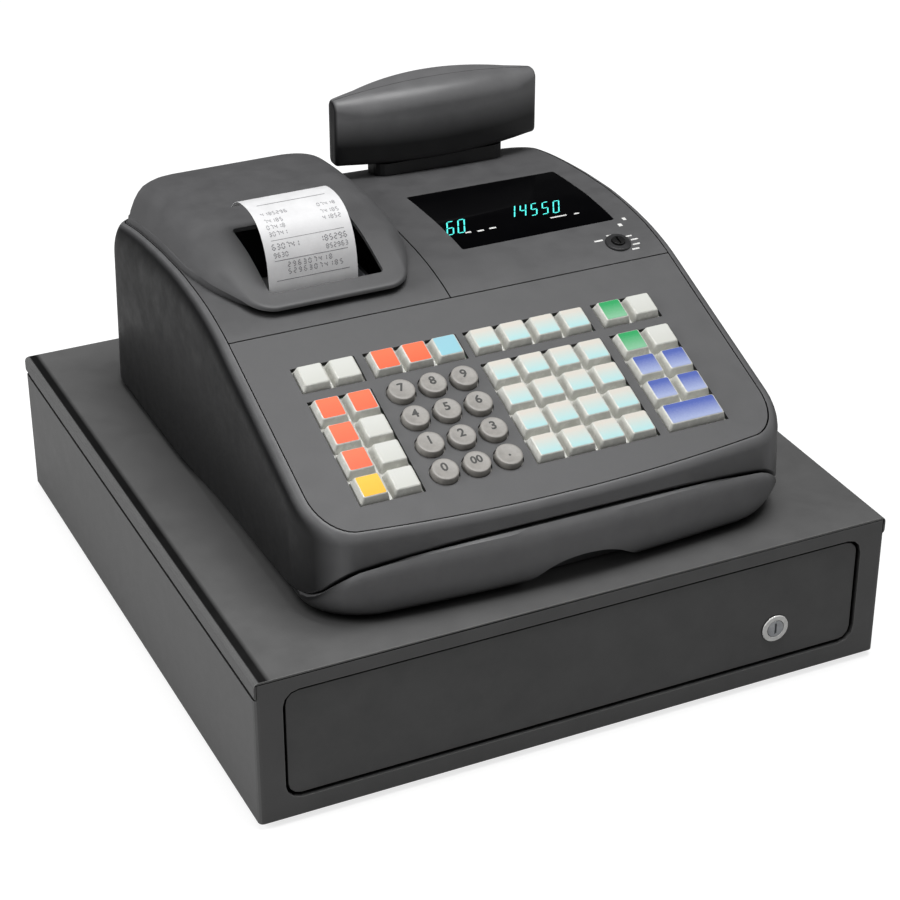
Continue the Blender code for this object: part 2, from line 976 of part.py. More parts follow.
def build_catch():
    floor = drawer_bottom + sheet + close_gap
    solenoid = add_part("latch_solenoid",
                        rounded_block((-coil_half_width, bolt_y - coil_depth / 2, floor),
                                      (coil_half_width, bolt_y + coil_depth / 2, floor + coil_height),
                                      (0, 0, 1), core_edge, 2),
                        bright_steel("solenoid_steel"))
    bore_low = floor + sheet
    bore_length = coil_height + overrun - sheet
    cut(solenoid, "solenoid_bore", rod_shape((0, bolt_y, bore_low + bore_length / 2), (0, 0, 1),
                                             bolt_radius + close_gap, bore_length, small_steps))
    bolt_low = floor + sheet + close_gap
    add_part("latch_bolt", rod_shape((0, bolt_y, bolt_low + bolt_length / 2), (0, 0, 1),
                                     bolt_radius, bolt_length, small_steps),
             brass("bolt_brass"))


def build_spring():
    tray_back = front_panel_back() + close_gap + tray_length
    start = tray_back + close_gap + spring_wire
    end = back_face - back_wall - close_gap - spring_wire
    centre_z = drawer_bottom + spring_height
    curve = bpy.data.curves.new("spring_path", "CURVE")
    curve.dimensions = "3D"
    curve.bevel_depth = spring_wire
    curve.bevel_resolution = 0
    curve.use_fill_caps = True
    count = spring_turns * 10
    spline = curve.splines.new("POLY")
    spline.points.add(count)
    for step, point in enumerate(spline.points):
        share = step / count
        angle = 2 * math.pi * spring_turns * share
        point.co = (spring_x + spring_radius * math.cos(angle), start + (end - start) * share,
                    centre_z + spring_radius * math.sin(angle), 1)
    holder = bpy.data.objects.new("spring_path", curve)
    bpy.context.scene.collection.objects.link(holder)
    bpy.context.view_layer.update()
    seen = holder.evaluated_get(bpy.context.evaluated_depsgraph_get())
    mesh = bpy.data.meshes.new_from_object(seen)
    shape = bmesh.new()
    shape.from_mesh(mesh)
    bmesh.ops.remove_doubles(shape, verts=shape.verts[:], dist=weld_distance)
    bmesh.ops.recalc_face_normals(shape, faces=shape.faces[:])
    bpy.data.objects.remove(holder)
    bpy.data.curves.remove(curve)
    bpy.data.meshes.remove(mesh)
    spring = add_part("eject_spring", shape, bright_steel("spring_steel"))
    shade_round(spring)


def build_feet():
    reach_x = half_width - foot_inset
    reach_y = back_face - foot_inset
    places = (("foot_front_left", -1, -1), ("foot_front_right", 1, -1),
              ("foot_back_left", -1, 1), ("foot_back_right", 1, 1))
    for name, side, end in places:
        profile = [
            (0, foot_height - close_gap),
            (foot_radius, foot_height - close_gap),
            (foot_radius * 0.9, 0),
            (0, 0),
        ]
        foot = turned_part(name, profile, small_steps, rubber(name + "_rubber"),
                           Matrix.Translation(Vector((side * reach_x, end * reach_y, 0))))
        shade_round(foot)


# Console shells

def wall_ring(side_inset, front_inset, corner_width, corner_depth, height):
    half = console_half_width - side_inset
    back_inset = side_inset
    back_corner = back_corner_radius - back_inset
    back = console_back - back_inset
    front = console_front + front_inset
    stations = crown_stations(console_back - back_corner_radius - close_gap, deck_back_line - close_gap)
    corner_start = front + console_bow + corner_depth
    stations.append((deck_back_line + corner_start) / 2)
    return ring(-half, half, front, back, (corner_width, corner_width, corner_depth),
                (back_corner, back_corner, back_corner), console_bow, stations, height)


def shoulder_depth(y):
    lines = [console_front, shoulder_full_line, deck_back_line, console_back]
    drops = [front_shoulder_drop, shoulder_drop, shoulder_drop, shoulder_back_drop]
    return float(numpy.interp(y, lines, drops))


def leaned(points, share):
    # The side walls lean in towards their top, as a moulded shell's do
    for point in points:
        lean = wall_draft * (point.z - drawer_top) * share
        point.x -= math.copysign(lean, point.x)
    return points


def shoulder_ring(turn, radius_share, drop_extra):
    # The rounded edge where the walls turn into the top
    inset = shoulder_inset - (shoulder_inset - console_wall * radius_share) * math.cos(turn)
    front_inset = front_shoulder_inset - (front_shoulder_inset - console_wall * radius_share) * math.cos(turn)
    share = 1 - math.sin(turn)

    def height(x, y):
        full = shoulder_depth(y)
        return top_line(x, y) - drop_extra - max(0, full - drop_extra) * share

    width = front_corner_width - inset
    depth = front_corner_depth - inset * 0.83
    return leaned(wall_ring(inset, front_inset, width, depth, height), math.cos(turn))


def seam_rings(height):
    # The two halves of the console meet along one shared outline, level across the wall
    outer = wall_ring(seam_gap, seam_front_inset, front_corner_width, front_corner_depth, height)
    inner = wall_ring(base_wall, seam_front_inset + base_wall, front_corner_width - base_wall,
                      front_corner_depth - base_wall, height)
    for near, far in zip(inner, outer):
        near.z = far.z
    return outer, inner


def recessed(points):
    # Behind the front lip the lower half steps in below the seam
    for point in points:
        share = float(numpy.interp(point.y, [recess_start_line, recess_full_line], [0, 1]))
        point.x -= math.copysign(side_recess * share, point.x)
    return points


def base_ring(side_share, front_inset, corner_share, height):
    # The lip's outline, which grows to the recessed foot's as the side share grows
    width = front_corner_width + (foot_recess_corner_width - front_corner_width) * corner_share
    depth = front_corner_depth + (foot_recess_corner_depth - front_corner_depth) * corner_share
    return recessed(wall_ring(foot_recess_side * side_share, front_inset, width, depth, height))


def build_base():
    bottom = console_floor
    rows = []

    def at(share):
        return lambda x, y: bottom + share * (lip_line(x, y) - bottom)

    rows.append(base_ring(0.75, foot_recess_front, 1, at(0)))
    rows.append(base_ring(0.72, foot_recess_front * 0.9, 0.95, at(lip_share * 0.85)))
    rows.append(base_ring(0.55, 0, 0.8, at(lip_share)))
    rows.append(base_ring(0.42, -lip_bulge * 0.75, 0.62, at(0.24)))
    rows.append(base_ring(0.26, -lip_bulge, 0.4, at(0.45)))
    rows.append(base_ring(0.12, -lip_bulge, 0.18, at(0.72)))
    rows.append(base_ring(0.05, -lip_bulge * 0.45, 0.04, at(0.92)))
    rows.extend(seam_rings(at(1)))
    floor_top = bottom + base_floor
    inner_width = front_corner_width - base_wall
    inner_depth = front_corner_depth - base_wall
    inner_front = lip_block_line - console_front
    for inset, rise in ((base_wall * 1.2, base_floor), (base_wall * 2.05, close_gap), (foot_recess_side, 0)):
        rows.append(recessed(wall_ring(inset, inner_front, inner_width, inner_depth,
                                       lambda x, y, up=rise: min(floor_top + up, at(0.86)(x, y)))))
    base = add_part("console_base", loft_shape(rows, True), dark_plastic("base_plastic"))
    arch = []
    for run, rise in arch_shares:
        arch.append((arch_centre + run * arch_half_width, bottom + rise * arch_height))
    arch.append((arch_centre + arch_half_width, bottom - overrun))
    arch.append((arch_centre - arch_half_width, bottom - overrun))
    deep = arch_depth_line
    shallow = console_front - lip_bulge - overrun
    cut(base, "arch_recess", outline_shape(arch, (deep - shallow) / 2,
                                           front_view_place((deep + shallow) / 2)))
    posts = []
    for x in (main_board_left + main_boss_inset, main_board_right - main_boss_inset):
        for y in (main_board_front + main_boss_inset, main_board_back - main_boss_inset):
            low = bottom + base_floor / 2
            high = floor_top + boss_height
            posts.append(rod_shape((x, y, (low + high) / 2), (0, 0, 1), boss_radius, high - low, 8))
    join(base, "board_posts", joined_shape(posts))


def build_housing():
    gap = seam_gap * 0.8
    rise = gap * 3
    outer_seam, inner_seam = seam_rings(lambda x, y: lip_line(x, y) + gap)
    rows = [outer_seam]
    rows.append(wall_ring(0, 0, front_corner_width, front_corner_depth,
                          lambda x, y: lip_line(x, y) + gap + rise))
    for step in range(shoulder_steps + 1):
        rows.append(shoulder_ring(quarter_turn * step / shoulder_steps, 0, 0))
    for step in range(shoulder_steps, -1, -1):
        rows.append(shoulder_ring(quarter_turn * step / shoulder_steps, 1, console_wall))
    rows.append(inner_seam)
    housing = add_part("console_housing", loft_shape(rows, False), dark_plastic("housing_plastic"))
    cut(housing, "inlet_hole", rod_shape((inlet_x, console_back, drawer_top + inlet_rise), (0, 1, 0),
                                         inlet_body_radius + close_gap, console_wall * 4, small_steps))


def plate_ring(left, right, front, back, left_corner, right_corner, corner_depth, height):
    stations = crown_stations(back - corner_depth - close_gap, front + close_gap * 4)
    tiny = seam_gap
    return ring(left, right, front, back, (tiny, tiny, tiny), (left_corner, right_corner, corner_depth), 0,
                stations, height)


def deck_place():
    origin = Vector((0, deck_front_line, drawer_top + deck_front_rise))
    return Matrix.Translation(origin) @ Matrix.Rotation(deck_angle, 4, "X")


def key_row(number):
    return first_row + key_pitch * number + (top_row_lead if number == 4 else 0)


def number_row(number):
    return number_first_row + number_row_step * number


def key_columns(first, count):
    return [first + key_pitch * step for step in range(count)]


def hole_shape(columns, rows):
    reach = cap_base / 2 + cap_clearance
    low = (columns[0] - reach, key_row(rows[0]) - reach, -deck_thickness * 2)
    high = (columns[-1] + reach, key_row(rows[-1]) + reach, deck_thickness)
    return block_shape(low, high)


def build_deck():
    half = console_half_width - shoulder_inset - seam_gap
    front = console_front + front_shoulder_inset + seam_gap
    width = front_corner_width - shoulder_inset
    depth = front_corner_depth - shoulder_inset * 0.83
    tiny = seam_gap
    rows = []
    for drop in (deck_thickness, 0):
        rows.append(ring(-half, half, front, deck_back_line - seam_gap / 2, (width, width, depth),
                         (tiny, tiny, tiny), console_bow, [], lambda x, y, d=drop: top_line(x, y) - d))
    deck = add_part("keyboard_deck", loft_shape(rows, True), dark_plastic("deck_plastic"))
    place = deck_place()
    posts = []
    for x in (-key_boss_x, key_boss_x):
        for y in (key_board_front + key_boss_inset, key_board_back - key_boss_inset):
            low = -key_board_depth + close_gap
            high = -deck_skin / 2
            posts.append(rod_shape((x, y, (low + high) / 2), (0, 0, 1), boss_radius, high - low, 8))
    post_cutter = join(deck, "deck_posts", joined_shape(posts))
    post_cutter.matrix_world = place
    holes = [
        hole_shape(key_columns(left_column, 2), (4, 4)),
        hole_shape(key_columns(number_column, 3), (4, 4)),
        hole_shape(key_columns(department_column, 4), (4, 4)),
        hole_shape(key_columns(payment_column, 2), (4, 4)),
        hole_shape(key_columns(left_column, 2), (0, 3)),
        hole_shape(key_columns(department_column, 4), (0, 3)),
        hole_shape(key_columns(payment_column, 2), (0, 3)),
    ]
    for x in key_columns(number_column, 3):
        for row in range(4):
            holes.append(rod_shape((x, number_row(row), 0), (0, 0, 1), round_key_skirt + cap_clearance,
                                   deck_thickness * 4, key_steps))
    hole_cutter = cut(deck, "key_holes", joined_shape(holes))
    hole_cutter.matrix_world = place


def cap_shape(x, y, width):
    # A key cap that narrows towards its top
    foot = -deck_skin - web_thickness
    half_x = width / 2
    half_y = cap_base / 2
    shape = block_shape((x - half_x, y - half_y, foot), (x + half_x, y + half_y, cap_rise))
    taper = (cap_base - cap_top) / 2
    for corner in shape.verts:
        if corner.co.z > 0:
            corner.co.x += taper if corner.co.x < x else -taper
            corner.co.y += taper if corner.co.y < y else -taper
    upper = [edge for edge in shape.edges if max(end.co.z for end in edge.verts) > 0]
    bmesh.ops.bevel(shape, geom=upper, offset=cap_edge, segments=1, profile=0.5, affect="EDGES")
    return shape


def web_shape(low_x, high_x, low_y, high_y):
    top = -deck_skin - close_gap
    return block_shape((low_x, low_y, top - web_thickness), (high_x, high_y, top))


def add_key_block(name, places, margins, material):
    # Caps that share one strip under the deck
    reach = cap_base / 2
    columns = [x for x, row in places]
    rows = [key_row(row) for x, row in places]
    left, right, front, back = margins
    block = add_part(name, web_shape(min(columns) - reach - left, max(columns) + reach + right,
                                     min(rows) - reach - front, max(rows) + reach + back), material)
    caps = join(block, name + "_caps",
                joined_shape([cap_shape(x, key_row(row), cap_base) for x, row in places]))
    block.matrix_world = deck_place()
    caps.matrix_world = deck_place()


def build_key_blocks():
    wide = web_margin
    close = web_close_margin
    pair = key_columns(left_column, 2)
    trio = key_columns(number_column, 3)
    quad = key_columns(department_column, 4)
    pay = key_columns(payment_column, 2)
    add_key_block("function_keys_top", [(x, 4) for x in pair + trio], (wide, close * 3, wide, wide),
                  key_plastic("top_key_plastic"))
    add_key_block("function_keys_left", [(x, row) for x in pair for row in range(4)],
                  (wide, wide, wide, wide), key_plastic("left_key_plastic"))
    add_key_block("department_keys", [(x, row) for x in quad for row in range(5)],
                  (close * 3, wide, wide, wide), key_plastic("department_key_plastic"))
    add_key_block("payment_keys", [(x, row) for x in pay for row in range(1, 5)],
                  (wide, wide, close, wide), blue_key_plastic("payment_key_plastic"))
    centre = sum(pay) / 2
    width = cap_base + key_pitch
    total = add_part("total_key", web_shape(centre - width / 2 - wide, centre + width / 2 + wide,
                                            key_row(0) - cap_base / 2 - wide,
                                            key_row(0) + cap_base / 2 + close),
                     blue_key_plastic("total_key_plastic"))
    cap = join(total, "total_key_cap", cap_shape(centre, key_row(0), width))
    total.matrix_world = deck_place()
    cap.matrix_world = deck_place()


def build_number_keys():
    names = ("number_key_0", "number_key_00", "number_key_point",
             "number_key_1", "number_key_2", "number_key_3",
             "number_key_4", "number_key_5", "number_key_6",
             "number_key_7", "number_key_8", "number_key_9")
    flange_top = -deck_skin - close_gap
    foot = flange_top - web_thickness
    profile = [
        (0, round_key_rise),
        (round_key_radius - round_key_edge, round_key_rise),
        (round_key_radius, round_key_rise - round_key_edge),
        (round_key_skirt, flange_top),
        (round_key_flange, flange_top),
        (round_key_flange, foot),
        (0, foot),
    ]
    order = iter(names)
    for row in range(4):
        for x in key_columns(number_column, 3):
            name = next(order)
            place = deck_place() @ Matrix.Translation(Vector((x, number_row(row), 0)))
            key = turned_part(name, profile, key_steps, grey_key_plastic(name + "_plastic"), place)
            shade_round(key)


def build_printer_cover():
    left = -console_half_width + shoulder_inset + seam_gap
    right = printer_cover_right - seam_gap / 2
    front = deck_back_line + seam_gap / 2
    back = console_back - shoulder_inset - seam_gap
    corner = back_corner_radius - shoulder_inset
    rows = []
    for drop in (deck_thickness, 0):
        rows.append(plate_ring(left, right, front, back, corner, seam_gap, corner,
                               lambda x, y, d=drop: top_line(x, y) - d))
    cover = add_part("printer_cover", loft_shape(rows, True), dark_plastic("printer_cover_plastic"))
    join(cover, "hood_outside", loft_shape(hood_outer_rings(), True))
    cut(cover, "hood_inside", loft_shape(hood_inner_rings(), True))
    cut(cover, "paper_window",
        rounded_block((paper_window_left, paper_window_front, drawer_top + deck_back_rise),
                      (paper_window_right, paper_window_back,
                       drawer_top + hood_front_rise + hood_crown + overrun),
                      (0, 0, 1), paper_window_corner, 2))


def hood_fold_share(y):
    # How much of its full width the hood's flank has; it narrows to nothing at the front
    run = (y - hood_front) / (hood_back - hood_front)
    runs = [place for place, share in hood_fold_shares]
    return float(numpy.interp(run, runs, [share for place, share in hood_fold_shares]))


def hood_ring(spread, front, back, inset, neck, height):
    # One outline of the hood, a share of the flank's width out from the plate's edge
    low = hood_corner - inset
    big = hood_back_corner - inset
    stations = crown_stations(back - big - close_gap, front + low + close_gap)
    stations = [y for y in stations if y < hood_back - hood_back_corner - hood_corner]
    points = ring(hood_plate_left + inset, hood_plate_right - inset, front, back, (low, low, low),
                  (big, big, big), 0, stations, height)
    middle = (hood_plate_left + hood_plate_right) / 2
    for point in points:
        fold = hood_fold_share(point.y)
        drawn = neck * hood_neck_inset * (1 - fold)
        if point.x < middle:
            point.x += drawn - hood_fold_left * spread * fold
        else:
            point.x += hood_fold_right * spread * fold - drawn
        point.z = height(point.x, point.y)
    return points


def hood_outer_rings():
    half_skin = deck_thickness / 2
    rings = [
        hood_ring(1, hood_neck_front, hood_back, 0, 1, lambda x, y: top_line(x, y) - half_skin),
        hood_ring(0.97, hood_neck_front, hood_back, 0, 1, lambda x, y: top_line(x, y) + hood_lip_gap * 0.9),
    ]
    for spread, rise, front_share, back_share in hood_side_shares:
        def height(x, y, share=rise):
            low = top_line(x, y) + hood_lip_gap
            return low + (hood_line(x, y) - low) * share

        rings.append(hood_ring(spread, hood_front + hood_edge_depth * front_share,
                               hood_back - hood_edge_depth * back_share, 0, 0, height))
    return rings


def hood_inner_rings():
    wall = hood_wall
    front = hood_neck_front + wall
    back = hood_back - wall

    def low_height(x, y):
        return top_line(x, y) + hood_lip_gap / 2

    def high_height(x, y):
        return hood_line(x, y) - wall * 1.6

    return [
        hood_ring(1, front, back, wall, 1, lambda x, y: top_line(x, y) - deck_thickness - overrun),
        hood_ring(0.96, front, back, wall * 1.1, 1, low_height),
        hood_ring(0.80, front, back - wall, wall * 1.1, 1,
                  lambda x, y: (low_height(x, y) + high_height(x, y)) / 2),
        hood_ring(0.49, front + close_gap, back - wall * 2, wall * 1.1, 1, high_height),
        hood_ring(0.1, front + close_gap * 2, back - wall * 3, wall * 1.1, 1,
                  lambda x, y: hood_line(x, y) - wall),
    ]


def window_ring(inset, drop):
    stations = crown_stations(window_back - inset - window_corner, window_front + inset + window_corner)
    corner = (window_corner, window_corner, window_corner)
    return ring(window_left + inset, window_right - inset, window_front + inset, window_back - inset,
                corner, corner, 0, stations, lambda x, y: top_line(x, y) - drop)


def build_display_cover():
    left = printer_cover_right + seam_gap / 2
    right = console_half_width - shoulder_inset - seam_gap
    front = deck_back_line + seam_gap / 2
    back = console_back - shoulder_inset - seam_gap
    corner = back_corner_radius - shoulder_inset
    rows = []
    for drop in (deck_thickness, 0):
        rows.append(plate_ring(left, right, front, back, seam_gap, corner, corner,
                               lambda x, y, d=drop: top_line(x, y) - d))
    cover = add_part("display_cover", loft_shape(rows, True), dark_plastic("display_cover_plastic"))
    hole_rings = [window_ring(0, deck_thickness * 2), window_ring(0, -overrun)]
    cut(cover, "window_hole", loft_shape(hole_rings, True))
    hole = cut(cover, "mode_hole", rod_shape((0, 0, 0), (0, 0, 1), mode_body_radius + close_gap,
                                             deck_thickness * 6, small_steps))
    hole.matrix_world = mode_place()


def build_display_window():
    rows = [window_ring(close_gap, window_thickness + close_gap), window_ring(close_gap, close_gap)]
    add_part("display_window", loft_shape(rows, True), clear_black("window_acrylic"))


def build_display_module():
    top = window_thickness + close_gap * 2.4
    rows = [window_ring(display_inset, top + display_depth), window_ring(display_inset, top)]
    add_part("display_module", loft_shape(rows, True), clear_black("display_glass"))


def mode_place():
    step = mode_ring_radius
    lean = math.atan((top_line(mode_x, mode_y + step) - top_line(mode_x, mode_y - step)) / (2 * step))
    crest = max(top_line(mode_x, mode_y + step * math.sin(turn)) - math.tan(lean) * step * math.sin(turn)
                for turn in numpy.linspace(-quarter_turn, quarter_turn, 9))
    point = Vector((mode_x, mode_y, crest + close_gap))
    return Matrix.Translation(point) @ Matrix.Rotation(lean, 4, "X")


def build_mode_lock():
    bore = mode_plug_radius + close_gap
    rounding = mode_ring_rise / 2
    profile = [
        (bore, mode_ring_rise),
        (mode_ring_radius - rounding, mode_ring_rise),
        (mode_ring_radius, rounding),
        (mode_ring_radius, 0),
        (mode_body_radius, 0),
        (mode_body_radius, -mode_body_length),
        (bore, -mode_body_length),
    ]
    turned_part("mode_lock_barrel", profile, round_steps, black_plastic("mode_lock_plastic"), mode_place())
    length = mode_body_length + mode_ring_rise + mode_plug_rise
    plug = add_part("mode_lock_plug", rod_shape((0, 0, mode_ring_rise + mode_plug_rise - length / 2),
                                                (0, 0, 1), mode_plug_radius, length, round_steps),
                    bright_steel("mode_plug_steel"))
    top = mode_ring_rise + mode_plug_rise
    slot = cut(plug, "mode_slot", block_shape((-mode_slot_width / 2, -mode_slot_length / 2,
                                               top - mode_slot_depth),
                                              (mode_slot_width / 2, mode_slot_length / 2, top + overrun)))
    plug.matrix_world = mode_place()
    slot.matrix_world = mode_place()


# Inside the console

def build_key_board():
    low = (-key_board_half_width, key_board_front, -key_board_depth - key_board_thickness)
    high = (key_board_half_width, key_board_back, -key_board_depth)
    board = add_part("keyboard_board", block_shape(low, high), circuit_board("keyboard_board_green"))
    board.matrix_world = deck_place()


def build_main_board():
    low_z = console_floor + base_floor + boss_height + close_gap
    add_part("main_board", block_shape((main_board_left, main_board_front, low_z),
                                       (main_board_right, main_board_back, low_z + main_board_thickness)),
             circuit_board("main_board_green"))


def build_transformer():
    low_z = console_floor + base_floor + close_gap
    high_z = low_z + transformer_height
    half_x = transformer_width / 2
    half_y = transformer_depth / 2
    iron = rounded_block((transformer_x - half_x, transformer_y - half_y * 0.6, low_z),
                         (transformer_x + half_x, transformer_y + half_y * 0.6, high_z),
                         (0, 1, 0), core_edge, 2)
    transformer = add_part("power_transformer", iron, bright_steel("transformer_iron"))
    winding = rounded_block((transformer_x - core_width / 2, transformer_y - half_y,
                             low_z + transformer_height * 0.2),
                            (transformer_x + core_width / 2, transformer_y + half_y,
                             high_z - transformer_height * 0.2),
                            (1, 0, 0), core_edge * 2, edge_steps)
    join(transformer, "transformer_winding", winding)


def build_printer_frame():
    floor = console_floor + base_floor + close_gap
    top = floor + printer_height
    frame = add_part("printer_frame", block_shape((printer_left, printer_front, floor),
                                                  (printer_right, printer_back, top)),
                     bright_steel("printer_frame_steel"))
    inner_left = printer_left + printer_plate
    inner_right = printer_right - printer_plate
    cut(frame, "frame_inside", block_shape((inner_left, printer_front - overrun, floor + printer_plate),
                                           (inner_right, printer_back + overrun, top + overrun)))
    roll_z = floor + roll_rise
    reach = roll_radius + trough_wall
    trough_low = roll_z - reach
    join(frame, "roll_trough", block_shape((inner_left - printer_plate / 2, roll_y - reach, trough_low),
                                           (inner_right + printer_plate / 2, roll_y + reach,
                                            trough_low + trough_height)))
    shaft_z = floor + platen_rise
    cuts = [rod_shape(((inner_left + inner_right) / 2, roll_y, roll_z), (1, 0, 0), roll_radius + close_gap,
                      inner_right - inner_left, round_steps * 2)]
    cut(frame, "roll_seat", joined_shape(cuts))
    cut(frame, "shaft_holes", rod_shape(((inner_left + inner_right) / 2, platen_y, shaft_z), (1, 0, 0),
                                        platen_shaft + close_gap, printer_right - printer_left + overrun * 2,
                                        small_steps))


def build_platen():
    floor = console_floor + base_floor + close_gap
    left = printer_left + printer_plate + close_gap
    right = printer_right - printer_plate - close_gap
    place = Matrix.Translation(Vector((left, platen_y, floor + platen_rise)))
    place = place @ Matrix.Rotation(quarter_turn, 4, "Y")
    length = right - left
    stub = printer_plate
    profile = [
        (0, length + stub),
        (platen_shaft, length + stub),
        (platen_shaft, length),
        (platen_radius, length),
        (platen_radius, 0),
        (platen_shaft, 0),
        (platen_shaft, -stub),
        (0, -stub),
    ]
    platen = turned_part("platen_roller", profile, round_steps, rubber("platen_rubber"), place)
    shade_round(platen)


def paper_face():
    return platen_y - platen_radius - close_gap


def build_print_head():
    floor = console_floor + base_floor + close_gap
    back = paper_face() - paper_thickness - close_gap
    middle = floor + platen_rise
    add_part("print_head", rounded_block((printer_left + printer_plate + close_gap,
                                          back - print_head_depth, middle - print_head_height / 2),
                                         (printer_right - printer_plate - close_gap, back,
                                          middle + print_head_height / 2),
                                         (1, 0, 0), core_edge / 2, 2),
             black_plastic("print_head_plastic"))


def build_paper_roll():
    floor = console_floor + base_floor + close_gap
    place = Matrix.Translation(Vector((paper_left, roll_y, floor + roll_rise)))
    place = place @ Matrix.Rotation(quarter_turn, 4, "Y")
    profile = [
        (roll_core_radius, paper_width),
        (roll_radius, paper_width),
        (roll_radius, 0),
        (roll_core_radius, 0),
    ]
    roll = turned_part("paper_roll", profile, round_steps * 2, paper("paper_roll_white"), place)
    shade_round(roll)


def build_receipt():
    start_y = paper_face()
    start_z = drawer_top + paper_start_rise
    middle = []
    for run, rise in receipt_shares:
        middle.append(Vector((start_y - paper_thickness / 2 + run * paper_run, start_z + rise * paper_rise)))
    upper = []
    lower = []
    for number, point in enumerate(middle):
        before = middle[max(0, number - 1)]
        after = middle[min(len(middle) - 1, number + 1)]
        along = (after - before).normalized()
        across = Vector((-along.y, along.x)) * (paper_thickness / 2)
        upper.append(tuple(point + across))
        lower.append(tuple(point - across))
    centre_x = paper_left + paper_width / 2
    receipt = add_part("receipt_paper", outline_shape(upper + lower[::-1], paper_width / 2,
                                                      side_view_place(centre_x)), paper("receipt_white"))
    shade_round(receipt)


# Customer display

def pod_ring(share, shrink):
    # One upright section of the customer display, seen from its end
    x = pod_x + share * (pod_half_length - shrink)
    swell = 1 - share * share
    front = pod_y - pod_end_half_depth - pod_front_bulge * swell + shrink
    back = pod_y + pod_end_half_depth + pod_back_bulge * swell - shrink
    floor = drawer_top + pod_floor_rise + shrink
    top = drawer_top + pod_floor_rise + pod_height + pod_crown * swell - shrink
    if abs(share) == 1:
        front += pod_end_shrink
        back -= pod_end_shrink
        floor += pod_end_shrink
        top -= pod_end_shrink
    depth = back - front
    low = min(pod_edge - shrink, depth * 0.3)
    big = min(pod_front_edge - shrink, depth * 0.5)
    rear = min(pod_back_edge - shrink, depth * 0.4)
    points = []
    corners = ((back - rear, top - rear, rear), (front + big, top - big, big),
               (front + low, floor + low, low), (back - low, floor + low, low))
    for quarter, (y, z, radius) in enumerate(corners):
        steps = edge_steps * 2 if quarter < 2 else edge_steps
        for step in range(steps + 1):
            turn = quarter_turn * (quarter + step / steps)
            points.append(Vector((x, y + radius * math.cos(turn), z + radius * math.sin(turn))))
    return points


def pod_shape(shrink):
    shape = bmesh.new()
    rows = []
    for share in pod_shares:
        rows.append([shape.verts.new(point) for point in pod_ring(share, shrink)])
    count = len(rows[0])
    for low, high in zip(rows, rows[1:]):
        for step in range(count):
            after = (step + 1) % count
            shape.faces.new((low[step], low[after], high[after], high[step]))
    shape.faces.new(rows[0])
    shape.faces.new(rows[-1][::-1])
    bmesh.ops.recalc_face_normals(shape, faces=shape.faces[:])
    return shape


def pod_window_outline(outer_drop, inner_drop, half):
    outer = []
    inner = []
    for step in range(-5, 6):
        share = step / 5 * half / pod_half_length
        swell = 1 - share * share
        back = pod_y + pod_end_half_depth + pod_back_bulge * swell
        x = pod_x + share * pod_half_length
        outer.append((x, back - outer_drop))
        inner.append((x, back - inner_drop))
    return outer + inner[::-1]


def build_pod():
    limit = pod_half_length + overrun
    deep = pod_end_half_depth + pod_back_bulge + overrun
    floor = drawer_top + pod_floor_rise
    roof = floor + pod_height + pod_crown + overrun
    for name, near, far in (("pod_front_shell", seam_gap / 2, deep), ("pod_back_shell", seam_gap / 2, deep)):
        shell = add_part(name, pod_shape(0), dark_plastic(name + "_plastic"))
        cut(shell, name + "_inside", pod_shape(pod_wall))
        front_half = name == "pod_front_shell"
        low_y = pod_y - near if front_half else pod_y - far
        high_y = pod_y + far if front_half else pod_y + near
        cut(shell, name + "_parting", block_shape((pod_x - limit, low_y, floor - overrun),
                                                  (pod_x + limit, high_y, roof)))
        cut(shell, name + "_neck_hole", rod_shape((pod_x, pod_y, floor), (0, 0, 1), turn_radius + seam_gap,
                                                  pod_wall * 4, round_steps))
        if not front_half:
            low = floor + pod_window_floor
            high = low + pod_window_height
            outline = pod_window_outline(-overrun, pod_wall + overrun, pod_window_half)
            cut(shell, "pod_window_hole",
                outline_shape(outline, (high - low) / 2,
                              Matrix.Translation(Vector((0, 0, (low + high) / 2)))))


def build_pod_window():
    floor = drawer_top + pod_floor_rise
    low = floor + pod_window_floor + close_gap
    high = floor + pod_window_floor + pod_window_height - close_gap
    outline = pod_window_outline(close_gap, close_gap + pod_window_thickness, pod_window_half - close_gap)
    window = add_part("pod_window", outline_shape(outline, (high - low) / 2,
                                                  Matrix.Translation(Vector((0, 0, (low + high) / 2)))),
                      clear_black("pod_window_acrylic"))
    shade_round(window)


def build_pod_display():
    floor = drawer_top + pod_floor_rise + pod_wall + close_gap
    front = pod_y + pod_board_y
    board = add_part("pod_display_module",
                     block_shape((pod_x - pod_board_half, front, floor),
                                 (pod_x + pod_board_half, front + pod_board_thickness,
                                  floor + pod_board_height)),
                     circuit_board("pod_board_green"))
    notch = turn_flange_radius + turn_flange
    cut(board, "board_notch", block_shape((pod_x - notch, front - overrun, floor - overrun),
                                          (pod_x + notch, front + overrun * 2, floor + turn_flange * 2)))


def build_neck():
    top = drawer_top + pod_floor_rise - neck_top_gap
    corner = (neck_corner, neck_corner, neck_corner)
    rows = []
    for height in (lambda x, y: top_line(x, y) + close_gap, lambda x, y: top):
        rows.append(ring(pod_x - neck_half_width, pod_x + neck_half_width, neck_front, neck_back, corner,
                         corner, 0, [], height))
    neck = add_part("pod_neck", loft_shape(rows, True), dark_plastic("neck_plastic"))
    floor_top = drawer_top + pod_floor_rise + pod_wall
    flange_low = floor_top + close_gap
    stem_low = top - turn_flange
    stem_high = flange_low + turn_flange / 2
    join(neck, "neck_stem", rod_shape((pod_x, pod_y, (stem_low + stem_high) / 2), (0, 0, 1), turn_radius,
                                      stem_high - stem_low, round_steps))
    join(neck, "neck_flange", rod_shape((pod_x, pod_y, flange_low + turn_flange / 2), (0, 0, 1),
                                        turn_flange_radius, turn_flange, round_steps))


